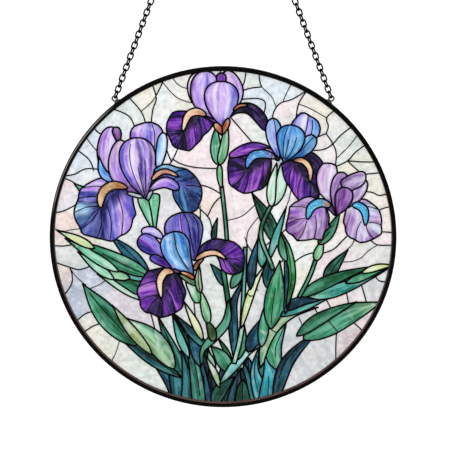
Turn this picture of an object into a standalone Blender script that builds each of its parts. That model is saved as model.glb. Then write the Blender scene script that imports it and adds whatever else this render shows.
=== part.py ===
"""Round stained glass suncatcher: an iris panel of leaded glass in a metal came, on two chains.

Metres, +Z up. The panel stands in the XZ plane and faces -Y. The origin is the top of the hanging
ring's hole, where the hook bears. The picture's own layout is in millimetres from the panel's centre.
"""

import math
from collections import Counter

import bmesh
import bpy
from mathutils import Matrix, Vector
from mathutils.geometry import delaunay_2d_cdt

MM = 0.001
NAME = "stained_glass_suncatcher"

# Panel: a U-shaped came around glass panes that are held by a network of soldered lead.
PANEL_DIAMETER = 0.305
CAME_FACE = 0.0041
CAME_DEPTH = 0.0065
CAME_GROOVE = 0.0025
CAME_SIDES = 36
LEAD_WIDTH = 0.0015
LEAD_DEPTH = 0.0044
GLASS_DEPTH = 0.003
GAP = 0.0003

# Hangers: a wire loop on a solder pad at each side of the came, and one ring over both chains.
LOOP_ANGLE = math.radians(37.2)
LOOP_RADIUS = 0.0022
LOOP_WIRE = 0.0015
LOOP_SIDES = 8
PAD_SIZE = (0.0066, 0.0042, 0.0012)
PAD_BITE = 0.0006
RING_RADIUS = 0.007
RING_WIRE = 0.002
RING_SIDES = 12

# Chains: oval links of round wire, each turned a quarter against the next, and all of them a
# little about the chain, as a chain hangs.
LINKS = 51
LINK_TURN = math.radians(22)
LINK_LENGTH = 0.008
LINK_WIDTH = 0.0063
LINK_WIRE = 0.0015
LINK_SIDES = 4
LINK_BITE = 0.0001

# The least bend between two faces that shows as an edge.
SHARP_ANGLE = math.radians(50)

# What follows from the sizes above.
PANEL_RADIUS = PANEL_DIAMETER / 2
SIGHT_RADIUS = PANEL_RADIUS - CAME_FACE
GROOVE_RADIUS = SIGHT_RADIUS + CAME_GROOVE
GROOVE_WIDTH = LEAD_DEPTH + 2 * GAP
LEAD_RADIUS = GROOVE_RADIUS - GAP
PICTURE_RADIUS = SIGHT_RADIUS + LEAD_WIDTH / 2
LOOP_CENTRE = PANEL_RADIUS + PAD_SIZE[2] - PAD_BITE + LOOP_WIRE / 2 + LOOP_RADIUS
LINK_HOLE = LINK_LENGTH - 2 * LINK_WIRE
LINK_PITCH = LINK_HOLE + LINK_BITE
LOW_REACH = LOOP_RADIUS - LOOP_WIRE / 2 - GAP + LINK_HOLE / 2
HIGH_REACH = RING_RADIUS - RING_WIRE / 2 - GAP + LINK_HOLE / 2
CHAIN_SPAN = LOW_REACH + (LINKS - 1) * LINK_PITCH + HIGH_REACH
LOOP_ACROSS = LOOP_CENTRE * math.sin(LOOP_ANGLE)
LOOP_UP = LOOP_CENTRE * math.cos(LOOP_ANGLE)
RING_DROP = RING_RADIUS - RING_WIRE / 2
PANEL_Z = -RING_DROP - math.sqrt(CHAIN_SPAN**2 - LOOP_ACROSS**2) - LOOP_UP

# Glass colours, and how rough each metal is.
GLASS = {
    "lavender": (0.48, 0.33, 0.76),
    "periwinkle": (0.24, 0.22, 0.62),
    "violet": (0.20, 0.05, 0.42),
    "deep_violet": (0.06, 0.01, 0.16),
    "sky_blue": (0.16, 0.42, 0.78),
    "deep_blue": (0.05, 0.13, 0.36),
    "lilac": (0.44, 0.31, 0.58),
    "plum": (0.25, 0.08, 0.34),
    "mint": (0.32, 0.66, 0.47),
    "leaf_green": (0.08, 0.31, 0.16),
    "dark_green": (0.02, 0.12, 0.08),
    "teal": (0.03, 0.22, 0.24),
    "sage": (0.36, 0.47, 0.28),
    "opal": (0.82, 0.83, 0.84),
}
METAL = {
    "black_came": ((0.020, 0.017, 0.016), 0.42),
    "patina_lead": ((0.025, 0.024, 0.026), 0.50),
    "black_steel": ((0.030, 0.028, 0.028), 0.38),
}

# How an outline swells from its foot to its tip: the powers of u and of 1 - u.
SWELL = {
    "petal": (0.90, 0.45),
    "lobe": (0.45, 0.40),
    "band": (0.25, 0.30),
    "bract": (0.45, 0.70),
    "leaf": (0.45, 0.85),
    "stem": (0.0, 0.0),
}
NEARBY = 0.02
STEPS = {"petal": 5, "lobe": 5, "band": 3, "bract": 3, "leaf": 4, "stem": 4}

# Each iris: its throat, then its petals from front to back, in millimetres from the throat.
# An upright petal has a bend and a tip. A fall has its arch, its shoulder, its belly and its tip.
IRISES = {
    "iris_low": ((-26, -33), (
        ("front_petal", "sky_blue", 26, (-17, 14), (-20, 37)),
        ("left_fall", "violet", 46, (-10, 8), (-19, 4), (-27, -17), (-30, -41)),
        ("right_fall", "violet", 25, (23, 21), (42, 9)),
        ("left_petal", "periwinkle", 20, (-38, 14), (-45, 34)),
        ("back_petal", "periwinkle", 33, (-4, 32), (-11, 53)),
    )),
    "iris_left": ((-65, 37), (
        ("front_petal", "lavender", 34, (-5, 25), (-10, 50)),
        ("left_fall", "periwinkle", 52, (-15, 8), (-27, 11), (-38, -13), (-41, -43)),
        ("right_fall", "deep_blue", 25, (13, 15), (23, 18), (36, 3), (39, -15)),
        ("left_petal", "lavender", 27, (-34, 28), (-30, 59)),
        ("right_petal", "periwinkle", 36, (10, 36), (2, 63)),
    )),
    "iris_right": ((50, 64), (
        ("front_petal", "sky_blue", 26, (9, 18), (12, 33)),
        ("left_fall", "violet", 39, (-11, 12), (-19, 17), (-26, -4), (-29, -26)),
        ("right_fall", "violet", 31, (8, 6), (13, 6), (23, -14), (31, -34)),
        ("left_petal", "lavender", 13, (-9, 23), (-8, 41)),
        ("right_petal", "sky_blue", 27, (22, 23), (21, 41)),
    )),
    "iris_far": ((99, 21), (
        ("front_petal", "plum", 18, (-1, 18), (9, 36)),
        ("left_fall", "lilac", 41, (-9, 10), (-15, 11), (-24, -7), (-26, -27)),
        ("right_fall", "lilac", 34, (8, 8), (14, 10), (25, -9), (31, -28)),
        ("right_petal", "lilac", 22, (15, 16), (26, 36)),
    )),
    "iris_top": ((-1, 97), (
        ("front_petal", "lavender", 31, (2, 21), (1, 41)),
        ("left_fall", "violet", 39, (-12, 10), (-22, 14), (-30, -4), (-33, -22)),
        ("right_fall", "deep_violet", 13, (21, 18), (40, -4)),
        ("left_petal", "lavender", 31, (-18, 27), (-14, 49)),
    )),
}

# Bracts, stems and leaves from front to back: name, colour, kind, width and the points they pass.
GREENS = (
    ("iris_left_bract", "mint", "bract", 15, (-59, 3), (-63, 22), (-65, 46)),
    ("iris_top_bract", "mint", "bract", 14, (-2, 62), (-2, 82), (-1, 106)),
    ("iris_right_bract", "mint", "bract", 15, (40, 25), (46, 45), (52, 72)),
    ("iris_top_stem", "leaf_green", "stem", 4.5, (-2, 64), (2, 26), (6, -16)),
    ("iris_far_stem", "leaf_green", "bract", 9, (66, -64), (84, -24), (103, 26)),
    ("centre_leaf", "leaf_green", "leaf", 18, (43, -94), (50, -44), (50, 3)),
    ("centre_inner_leaf", "teal", "leaf", 13, (18, -152), (24, -72), (34, -1)),
    ("right_upper_leaf", "leaf_green", "leaf", 17, (62, -62), (108, -37), (150, -25)),
    ("right_middle_leaf", "sage", "leaf", 15, (68, -94), (103, -66), (142, -58)),
    ("right_dark_leaf", "teal", "leaf", 14, (51, -142), (63, -113), (80, -82)),
    ("left_top_leaf", "dark_green", "leaf", 13, (-58, -42), (-97, -12), (-142, 4)),
    ("left_middle_leaf", "mint", "leaf", 16, (-58, -64), (-104, -29), (-142, 4)),
    ("low_left_dark_leaf", "dark_green", "leaf", 20, (-40, -124), (-96, -89), (-122, -44)),
    ("fan_left_leaf", "teal", "leaf", 19, (-32, -150), (-46, -108), (-57, -70)),
    ("fan_inner_leaf", "leaf_green", "leaf", 14, (-15, -150), (-26, -104), (-40, -70)),
    ("fan_middle_leaf", "teal", "leaf", 19, (-3, -152), (-8, -118), (-22, -92)),
    ("fan_tall_leaf", "dark_green", "leaf", 12, (13, -152), (9, -71), (19, -40)),
    ("fan_right_leaf", "leaf_green", "leaf", 22, (34, -152), (44, -102), (56, -64)),
)

# The main lead lines across the pale ground, from the came to the picture.
GROUND_LINES = (
    ((-97, 120), (-88, 106), (-86, 84)),
    ((-145, -62), (-132, -52), (-116, -50)),
    ((155, -15), (139, -12), (120, 0)),
)

# How the picture is cut: what is too small to be a pane, and how plainly its borders run.
SMALLEST_PANE = 90
SMALLEST_PIECE = 25
BORDER_SLACK = 1.25
STRAIGHT_SLACK = 0.02
LAP = 0.1
LEAST_COSINE = 0.5
CLAW_SHARE = 0.28
CLAW_END = 0.3


# The picture as flat outlines, in millimetres.


def along(points, u):
    """A point on the smooth curve through the points, with u from 0 at the first to 1 at the last."""
    route = [Vector(point) for point in points]
    route = [2 * route[0] - route[1], *route, 2 * route[-1] - route[-2]]
    place = u * (len(points) - 1)
    start = min(max(int(place), 0), len(points) - 2)
    t = place - start
    a, b, c, d = route[start : start + 4]
    bend = (2 * a - 5 * b + 4 * c - d) * t**2 + (3 * b - a - 3 * c + d) * t**3
    return b + ((c - a) * t + bend) / 2


def swell(u, foot, tip):
    """The share of the full width at u, for the two powers of a kind of outline."""
    if foot == tip == 0:
        return 1.0
    widest = foot / (foot + tip)
    most = widest**foot * (1 - widest) ** tip
    return max(u, 0) ** foot * max(1 - u, 0) ** tip / most


def blade(kind, width, points):
    """The outline of a petal, leaf or stem, laid off each side of its bent spine."""
    foot, tip = SWELL[kind]
    steps = STEPS[kind] + 2 * (len(points) - 3)
    left, right = [], []
    for step in range(steps + 1):
        u = (1 - math.cos(math.pi * step / steps)) / 2
        heading = along(points, min(u + NEARBY, 1)) - along(points, max(u - NEARBY, 0))
        side = Vector((-heading.y, heading.x)).normalized() * width / 2 * swell(u, foot, tip)
        centre = along(points, u)
        left.append(centre + side)
        if side.length > STRAIGHT_SLACK:
            right.append(centre - side)
    return left + right[::-1]


def iris_outlines(throat, row):
    """The outlines of one petal: one for an upright petal, two for the claw and lobe of a fall."""
    _, _, width, *offsets = row
    places = [Vector(throat) + Vector(offset) for offset in offsets]
    if len(places) == 2:
        return [blade("petal", width, [Vector(throat), *places])]
    arch, shoulder, belly, tip = places
    claw = [Vector(throat), arch, shoulder.lerp(belly, CLAW_END)]
    return [blade("band", width * CLAW_SHARE, claw), blade("lobe", width, [shoulder, belly, tip])]


def picture_shapes():
    """(name, colour, outlines) of every shape in the picture, from front to back."""
    shapes = []
    for iris, (throat, rows) in IRISES.items():
        for row in rows:
            shapes.append((f"{iris}_{row[0]}", row[1], iris_outlines(throat, row)))
    for name, colour, kind, width, *points in GREENS:
        shapes.append((name, colour, [blade(kind, width, points)]))
    return shapes


def circle(radius, sides):
    turns = [2 * math.pi * side / sides for side in range(sides)]
    return [Vector((radius * math.cos(turn), radius * math.sin(turn))) for turn in turns]


def signed_area(loop):
    return sum(a.cross(b) for a, b in zip(loop, loop[1:] + loop[:1])) / 2


def left_handed(loop):
    """The loop, turned so that its inside is on the left."""
    return loop if signed_area(loop) > 0 else loop[::-1]


def mosaic(shapes, lines):
    """Cuts the disc into triangles along every outline and line, and groups them into panes.

    Returns the points and a list of panes, each as (shape number, its triangles)."""
    ground = len(shapes)
    points, faces, owner, edges = [], [], [], []
    outlines = [(i, outline) for i, (_, _, parts) in enumerate(shapes) for outline in parts]
    outlines.append((ground, circle(PICTURE_RADIUS / MM, CAME_SIDES)))
    for shape, outline in outlines:
        faces.append(range(len(points), len(points) + len(outline)))
        owner.append(shape)
        points += left_handed(outline)
    for line in lines:
        route = [along(line, step / 3) for step in range(4)]
        edges += [(len(points) + i, len(points) + i + 1) for i in range(3)]
        points += route
    cut = delaunay_2d_cdt(points, edges, [list(face) for face in faces], 0, 1e-5)
    places, sides, triangles, _, from_edges, from_faces = cut
    leads = set()
    for side, sources in zip(sides, from_edges):
        if any(source < len(edges) for source in sources):
            leads.add(tuple(sorted(side)))
    label = {}
    for number, sources in enumerate(from_faces):
        found = sorted(owner[source] for source in sources)
        if found and found[-1] == ground:
            label[number] = found[0]
    return places, triangles, grouped(triangles, label, leads, ground)


def edges_of(triangle):
    return [tuple(sorted((triangle[i], triangle[i - 1]))) for i in range(3)]


def grouped(triangles, label, leads, ground):
    """The panes: triangles of one shape that meet across no lead line."""
    beside = {}
    for number in label:
        for edge in edges_of(triangles[number]):
            beside.setdefault(edge, []).append(number)
    panes, seen = [], set()
    for first in label:
        if first in seen:
            continue
        seen.add(first)
        members = [first]
        for number in members:
            for edge in edges_of(triangles[number]):
                if label[first] == ground and edge in leads:
                    continue
                for other in beside[edge]:
                    if other not in seen and label[other] == label[first]:
                        seen.add(other)
                        members.append(other)
        panes.append((label[first], members))
    return panes


def area(places, triangle):
    a, b, c = (places[i] for i in triangle)
    return abs((b - a).cross(c - a)) / 2


def join_small(places, triangles, panes, ground):
    """Joins each pane too small to cut to the neighbour it shares most border with."""
    panes = [[shape, list(members)] for shape, members in panes]
    while True:
        sizes = [sum(area(places, triangles[t]) for t in members) for _, members in panes]
        least = min(range(len(panes)), key=sizes.__getitem__)
        if sizes[least] >= SMALLEST_PANE:
            return panes
        home = {}
        for number, (_, members) in enumerate(panes):
            for triangle in members:
                for edge in edges_of(triangles[triangle]):
                    home.setdefault(edge, set()).add(number)
        shared = {}
        for edge, numbers in home.items():
            if least in numbers:
                for other in numbers - {least}:
                    same_kind = (panes[other][0] == ground) == (panes[least][0] == ground)
                    length = (places[edge[0]] - places[edge[1]]).length
                    shared[other] = shared.get(other, 0) + length * (3 if same_kind else 1)
        nearest = max(shared, key=shared.get)
        panes[nearest][1] += panes[least][1]
        del panes[least]


def border_loops(triangles):
    """The closed loops of point numbers around a set of triangles, with the inside on the left."""
    sides = {(t[i], t[(i + 1) % 3]) for t in triangles for i in range(3)}
    following = {}
    for start, end in sides:
        if (end, start) not in sides:
            following.setdefault(start, []).append(end)
    loops = []
    while following:
        start = next(iter(following))
        loop = [start]
        while True:
            choices = following[loop[-1]]
            step = choices.pop()
            if not choices:
                del following[loop[-1]]
            if step == start:
                break
            loop.append(step)
        loops.append(loop)
    return loops


def off_line(place, start, end):
    """How far a place lies from the line through two others."""
    run = end - start
    return abs(run.cross(place - start)) / max(run.length, 1e-9)


def thinned(run, places):
    """The run of point numbers without those that lie within the slack of a straight line."""
    if len(run) < 3:
        return run
    offsets = [off_line(places[i], places[run[0]], places[run[-1]]) for i in run]
    furthest = max(range(1, len(run) - 1), key=offsets.__getitem__)
    if offsets[furthest] < BORDER_SLACK:
        return [run[0], run[-1]]
    return thinned(run[: furthest + 1], places)[:-1] + thinned(run[furthest:], places)


def shared_runs(loop, places, corners):
    """The loop thinned between its corners, alike for the panes on both sides of it."""
    first = next(i for i, point in enumerate(loop) if point in corners)
    loop = loop[first:] + loop[: first + 1]
    outline, run = [], []
    for point in loop:
        run.append(point)
        if point in corners and len(run) > 1:
            forwards = run[0] < run[-1]
            kept = thinned(run if forwards else run[::-1], places)
            outline += (kept if forwards else kept[::-1])[:-1]
            run = [point]
    return [places[point] for point in outline]


def straightened(loop):
    """The loop without the points that lie on a straight run."""
    kept = list(loop)
    for place in loop:
        here = kept.index(place)
        if off_line(place, kept[here - 1], kept[(here + 1) % len(kept)]) < STRAIGHT_SLACK:
            del kept[here]
    return kept


def counter_clockwise(places, triangle):
    a, b, c = (places[i] for i in triangle)
    return triangle if (b - a).cross(c - a) > 0 else triangle[::-1]


def shrunk(loops, margin):
    """The pieces left when a margin is cut from inside the loops, each as its loops, largest first."""
    points, faces = [], []
    for loop in loops:
        faces.append(range(len(points), len(points) + len(loop)))
        points += left_handed(loop)
    for loop in loops:
        for start, turn, end in zip(loop, loop[1:] + loop[:1], loop[2:] + loop[:2]):
            first, second = (turn - start).normalized(), (end - turn).normalized()
            side, further = first.orthogonal() * margin, second.orthogonal() * margin
            strips = [[start, turn, turn + side, start + side]]
            if first.cross(second) < 0:
                corner = (side + further).normalized()
                corner *= margin / max(corner.dot(side) / margin, LEAST_COSINE)
                side -= first * LAP
                further += second * LAP
                strips.append([turn, turn + further, turn + corner, turn + side])
            for strip in strips:
                faces.append(range(len(points), len(points) + 4))
                points += strip
    cut = delaunay_2d_cdt(points, [], [list(face) for face in faces], 0, 1e-5)
    places, triangles, from_faces = cut[0], cut[2], cut[5]
    inside = set(range(len(loops)))
    left = {}
    for number, sources in enumerate(from_faces):
        if len(inside & set(sources)) == 1 and set(sources) <= inside:
            left[number] = 0
    pieces = []
    for _, members in grouped(triangles, left, set(), None):
        turned = [counter_clockwise(places, triangles[t]) for t in members]
        outlines = [straightened([places[i] for i in loop]) for loop in border_loops(turned)]
        size = sum(area(places, triangles[t]) for t in members)
        pieces.append((size, sorted(outlines, key=signed_area, reverse=True)))
    pieces.sort(key=lambda piece: -piece[0])
    return [outlines for size, outlines in pieces if size > SMALLEST_PIECE]


def cut_panes():
    """(name, colour, outlines of the hole, outlines of the glass) of every pane."""
    shapes = picture_shapes()
    ground = len(shapes)
    places, triangles, panes = mosaic(shapes, GROUND_LINES)
    panes = join_small(places, triangles, panes, ground)
    names = [shape[0] for shape in shapes] + ["ground"]
    colours = [shape[1] for shape in shapes] + ["opal"]
    borders = []
    for _, members in panes:
        borders.append(border_loops([counter_clockwise(places, triangles[t]) for t in members]))
    meetings = Counter(point for loops in borders for point in {p for loop in loops for p in loop})
    edge = (PICTURE_RADIUS - LEAD_WIDTH / 10) / MM * math.cos(math.pi / CAME_SIDES)
    corners = {p for p, count in meetings.items() if count > 2 or places[p].length > edge}
    cut, used = [], {}
    for (shape, _), loops in zip(panes, borders):
        loops = [shared_runs(loop, places, corners) for loop in loops]
        holes = shrunk(loops, LEAD_WIDTH / 2 / MM)
        panes_of_glass = shrunk(loops, (LEAD_WIDTH / 2 + GAP) / MM)
        for hole, outlines in zip(holes, panes_of_glass):
            used[shape] = used.get(shape, 0) + 1
            plain = shape != ground and used[shape] == 1
            name = names[shape] if plain else f"{names[shape]}_{used[shape]}"
            cut.append((name, colours[shape], hole, outlines))
    return cut


# The solids.


def collection(name, hidden=False):
    made = bpy.data.collections.new(name)
    made.hide_render = hidden
    bpy.context.scene.collection.children.link(made)
    return made


def principled(name, colour, roughness, metallic=0.0):
    material = bpy.data.materials.new(name)
    material.use_nodes = True
    shader = material.node_tree.nodes["Principled BSDF"]
    shader.inputs["Base Color"].default_value = (*colour, 1)
    shader.inputs["Roughness"].default_value = roughness
    shader.inputs["Metallic"].default_value = metallic
    material.diffuse_color = (*colour, 1)
    return material


def metal(name):
    return bpy.data.materials.get(name) or principled(name, *METAL[name], metallic=0.8)


def glass(name):
    return bpy.data.materials.get(name) or principled(name, GLASS[name], 0.18)


def add(parts, name, data, material):
    made = bpy.data.objects.new(name, data)
    made.data.materials.append(material)
    parts.objects.link(made)
    return made


def flat_plate(parts, name, outlines, depth, material):
    """A plate of the outlines' shape, standing in the panel's plane with its depth shared about it."""
    curve = bpy.data.curves.new(name, "CURVE")
    curve.dimensions = "2D"
    curve.fill_mode = "BOTH"
    curve.extrude = depth / 2
    for outline in outlines:
        spline = curve.splines.new("POLY")
        spline.points.add(len(outline) - 1)
        spline.use_cyclic_u = True
        for point, place in zip(spline.points, outline):
            point.co = (place.x * MM, place.y * MM, 0, 1)
    plate = add(parts, name, curve, material)
    plate.location = (0, 0, PANEL_Z)
    plate.rotation_euler = (math.pi / 2, 0, 0)
    return plate


def turned(name, section, sides):
    """The mesh of a section, given as (distance out, depth), turned about the Y axis into a ring.

    The section's outer side runs towards -Y."""
    profile = bpy.data.meshes.new(name + "_profile")
    edges = [(i, (i + 1) % len(section)) for i in range(len(section))]
    profile.from_pydata([(out, depth, 0) for out, depth in section], edges, [])
    ring = bpy.data.objects.new(name, profile)
    bpy.context.scene.collection.objects.link(ring)
    turn = ring.modifiers.new("turn", "SCREW")
    turn.axis = "Y"
    turn.steps = turn.render_steps = sides
    graph = bpy.context.evaluated_depsgraph_get()
    mesh = bpy.data.meshes.new_from_object(ring.evaluated_get(graph))
    bpy.data.objects.remove(ring)
    mesh.shade_smooth()
    mesh.set_sharp_from_angle(angle=SHARP_ANGLE)
    return mesh


def make_came(parts):
    """The U-shaped rim, open towards the glass."""
    half, groove = CAME_DEPTH / 2, GROOVE_WIDTH / 2
    section = [
        (PANEL_RADIUS, half),
        (PANEL_RADIUS, -half),
        (SIGHT_RADIUS, -half),
        (SIGHT_RADIUS, -groove),
        (GROOVE_RADIUS, -groove),
        (GROOVE_RADIUS, groove),
        (SIGHT_RADIUS, groove),
        (SIGHT_RADIUS, half),
    ]
    came = add(parts, "came", turned("came", section, CAME_SIDES), metal("black_came"))
    came.location = (0, 0, PANEL_Z)


def wire_ring(name, radius, wire, sides):
    """A ring of square-section wire standing in the XZ plane, with a corner of the wire inwards."""
    half = wire / 2
    around = [(radius + half, 0), (radius, -half), (radius - half, 0), (radius, half)]
    return turned(name, around, sides)


def oval_link(name):
    """One link along Z in the XZ plane: a ring of three-sided wire pulled out to an oval."""
    hole = LINK_WIDTH / 2 - LINK_WIRE
    spread = LINK_WIRE / math.sqrt(3)
    corner = 1 / math.cos(math.pi / LINK_SIDES)
    section = [(hole, 0), (hole + LINK_WIRE, spread), (hole + LINK_WIRE, -spread)]
    link = turned(name, [(out * corner, depth) for out, depth in section], LINK_SIDES)
    link.transform(Matrix.Rotation(math.pi / LINK_SIDES, 4, "Y"))
    for end in link.vertices:
        end.co.z += math.copysign(LINK_HOLE / 2 - hole, end.co.z)
    return link


def union(base, tool, kept_in):
    """Fuses the tool into the base, and keeps the tool as a cutter."""
    kept_in.objects.link(tool)
    tool.hide_render = True
    tool.display_type = "WIRE"
    fuse = base.modifiers.new("fuse", "BOOLEAN")
    fuse.operation = "UNION"
    fuse.object = tool


def row_of_links(name, link, first, foot, heading):
    """Every other link of a chain in one mesh, all turned alike."""
    lean = Matrix.Rotation(math.atan2(heading.x, heading.z), 4, "Y")
    turn = Matrix.Rotation(math.pi / 2 * (1 - first) + LINK_TURN, 4, "Z")
    row = bmesh.new()
    for number in range(first, LINKS, 2):
        copy = link.copy()
        place = Matrix.Translation(foot + heading * (LOW_REACH + number * LINK_PITCH))
        copy.transform(place @ lean @ turn)
        row.from_mesh(copy)
        bpy.data.meshes.remove(copy)
    mesh = bpy.data.meshes.new(name)
    row.to_mesh(mesh)
    row.free()
    return mesh


def make_chain(parts, tools, side, name):
    """A row of links from the loop on the came to the hanging ring, each biting into the next."""
    foot = Vector((side * LOOP_ACROSS, 0, PANEL_Z + LOOP_UP))
    heading = (Vector((0, 0, -RING_DROP)) - foot).normalized()
    link = oval_link(name + "_link")
    chain = add(parts, name, row_of_links(name, link, 0, foot, heading), metal("black_steel"))
    flat_links = row_of_links(name + "_flat_links", link, 1, foot, heading)
    union(chain, bpy.data.objects.new(flat_links.name, flat_links), tools)
    bpy.data.meshes.remove(link)


def make_loop(parts, tools, side, name):
    """A wire ring with its lower edge sunk in a solder pad that lies on the came."""
    place = Matrix.Translation((0, 0, PANEL_Z)) @ Matrix.Rotation(side * LOOP_ANGLE, 4, "Y")
    ring = wire_ring(name, LOOP_RADIUS, LOOP_WIRE, LOOP_SIDES)
    ring.transform(place @ Matrix.Translation((0, 0, LOOP_CENTRE)))
    block = bmesh.new()
    raised = Matrix.Translation((0, 0, PANEL_RADIUS + PAD_SIZE[2] / 2))
    bmesh.ops.create_cube(block, size=1, matrix=place @ raised @ Matrix.Diagonal((*PAD_SIZE, 1)))
    pad = bpy.data.meshes.new(name + "_pad")
    block.to_mesh(pad)
    block.free()
    loop = add(parts, name, ring, metal("black_steel"))
    union(loop, bpy.data.objects.new(pad.name, pad), tools)


def make_hanging_ring(parts):
    ring = wire_ring("hanging_ring", RING_RADIUS, RING_WIRE, RING_SIDES)
    add(parts, "hanging_ring", ring, metal("black_steel")).location = (0, 0, -RING_DROP)


def make_panel(parts):
    """The lead network, which is the whole disc less one hole for each pane, and the panes."""
    panes = cut_panes()
    edge = circle(LEAD_RADIUS / MM, CAME_SIDES)
    holes = [outline for _, _, hole, _ in panes for outline in hole]
    flat_plate(parts, "lead_network", [edge, *holes], LEAD_DEPTH, metal("patina_lead"))
    for name, colour, _, outlines in panes:
        flat_plate(parts, name, outlines, GLASS_DEPTH, glass(colour))


def main():
    for old in list(bpy.data.objects):
        bpy.data.objects.remove(old)
    parts = collection(NAME)
    tools = collection(NAME + "_cutters", hidden=True)
    make_came(parts)
    make_panel(parts)
    for side, word in ((-1, "left"), (1, "right")):
        make_loop(parts, tools, side, f"{word}_loop")
        make_chain(parts, tools, side, f"{word}_chain")
    make_hanging_ring(parts)


main()
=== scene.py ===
"""Dresses the round stained glass suncatcher: streaky glass cut to an iris picture, soldered
lead lines, the blackened came, the wire loops, the two chains and the hanging ring.

Metres, +Z up. The panel stands in the XZ plane and faces -Y. The picture is laid out in
millimetres from the panel's centre, x to the right and z up.
"""

import math
import random

import bpy
import numpy as np
from bpy.props import FloatProperty, FloatVectorProperty, IntProperty, PointerProperty
from mathutils import Matrix, Vector, noise
from mathutils.geometry import delaunay_2d_cdt


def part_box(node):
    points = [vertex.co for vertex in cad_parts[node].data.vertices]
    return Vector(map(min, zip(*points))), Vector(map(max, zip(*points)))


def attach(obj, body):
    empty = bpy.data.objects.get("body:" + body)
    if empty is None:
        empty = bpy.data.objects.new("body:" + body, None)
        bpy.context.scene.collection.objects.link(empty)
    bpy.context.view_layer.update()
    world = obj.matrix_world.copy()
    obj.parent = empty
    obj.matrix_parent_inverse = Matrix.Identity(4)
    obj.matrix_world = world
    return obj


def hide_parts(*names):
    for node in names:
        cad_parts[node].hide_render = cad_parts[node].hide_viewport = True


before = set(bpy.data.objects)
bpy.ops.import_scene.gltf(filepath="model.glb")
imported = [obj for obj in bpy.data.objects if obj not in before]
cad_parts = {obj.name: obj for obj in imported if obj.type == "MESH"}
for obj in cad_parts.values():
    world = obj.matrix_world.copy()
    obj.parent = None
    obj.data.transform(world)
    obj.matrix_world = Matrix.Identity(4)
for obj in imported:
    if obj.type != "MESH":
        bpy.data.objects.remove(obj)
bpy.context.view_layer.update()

bl_info = {
    "name": "Stained Glass Suncatcher",
    "version": (1, 0, 0),
    "blender": (4, 5, 0),
    "location": "View3D > Sidebar > Suncatcher",
    "description": "Cuts and leads a round iris panel and hangs it on two chains",
    "category": "Object",
}

MM = 0.001
CAME_LOW, CAME_HIGH = (Vector(corner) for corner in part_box("came"))
RING_LOW, RING_HIGH = (Vector(corner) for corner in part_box("hanging_ring"))
PANEL_CENTRE = (CAME_LOW + CAME_HIGH) / 2
PANEL_RADIUS = (CAME_HIGH.x - CAME_LOW.x) / 2
RING_CENTRE = (RING_LOW + RING_HIGH) / 2


# Sizes and colours that a user would change.


def linear(code):
    """The scene colour of an sRGB code such as 0xd3b2ed."""
    channels = ((code >> shift & 255) / 255 for shift in (16, 8, 0))
    return tuple(c / 12.92 if c <= 0.04045 else ((c + 0.055) / 1.055) ** 2.4 for c in channels)


def length(name, description, value):
    return FloatProperty(
        name=name, description=description, default=value, min=0, subtype="DISTANCE", unit="LENGTH"
    )


def colour(name, description, code):
    return FloatVectorProperty(
        name=name, description=description, default=linear(code), size=3, min=0, max=1,
        subtype="COLOR",
    )


class SUNCATCHER_PG_sizes(bpy.types.PropertyGroup):
    """Sizes of the leaded panel and of what it hangs from."""

    glass_depth: length("Glass depth", "Thickness of the sheet glass", 0.003)
    glass_ripple: length("Glass ripple", "How far the face of the glass wanders", 0.00012)
    glass_step: length("Glass step", "Distance between points in the face of a pane", 0.0022)
    lead_width: length("Lead width", "Width of the solder line round a petal or leaf", 0.0016)
    ground_width: length("Ground lead width", "Width of the solder line across the ground", 0.00125)
    fold_width: length("Fold width", "Width of the line along a fold of one petal", 0.0009)
    lead_depth: length("Lead depth", "Depth of a solder bead through the panel", 0.0044)
    came_face: length("Came face", "Width of the rim's face", 0.0041)
    came_bevel: length("Came bevel", "Width of the slope on the rim's inner lip", 0.0005)
    # The fillet is widest at the bottom, where its brown is a painted highlight of the rim's lit lower
    # lip.
    cement_width: length("Cement width", "Width of the cement fillet at the foot", 0.0014)
    came_crown: length("Came crown", "How far the rim's face rounds over outwards", 0.0009)
    loop_angle: FloatProperty(
        name="Loop angle", description="Place of each loop, from the top of the rim",
        default=math.radians(37.2), subtype="ANGLE",
    )
    loop_radius: length("Loop radius", "Radius of a loop to the middle of its wire", 0.0022)
    loop_wire: length("Loop wire", "Thickness of a loop's wire", 0.0015)
    pad_rise: length("Pad rise", "Height of the solder pad over the rim", 0.0012)
    pad_bite: length("Pad bite", "How far a loop sinks into its pad", 0.0006)
    ring_radius: length("Ring radius", "Radius of the hanging ring to the middle of its wire", 0.007)
    ring_wire: length("Ring wire", "Thickness of the hanging ring's wire", 0.002)
    links: IntProperty(name="Links", description="Links in each chain", default=51, min=2)
    link_turn: FloatProperty(
        name="Link turn", description="Turn of all the links about their chain",
        default=math.radians(22), subtype="ANGLE",
    )
    link_length: length("Link length", "Length of a link over its wire", 0.008)
    link_width: length("Link width", "Width of a link over its wire", 0.0063)
    link_wire: length("Link wire", "Thickness of a link's wire", 0.0015)
    link_bite: length("Link bite", "How far neighbouring links press together", 0.0001)
    hanger_gap: length("Hanger gap", "Slack between a chain's end and what holds it", 0.0003)


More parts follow.
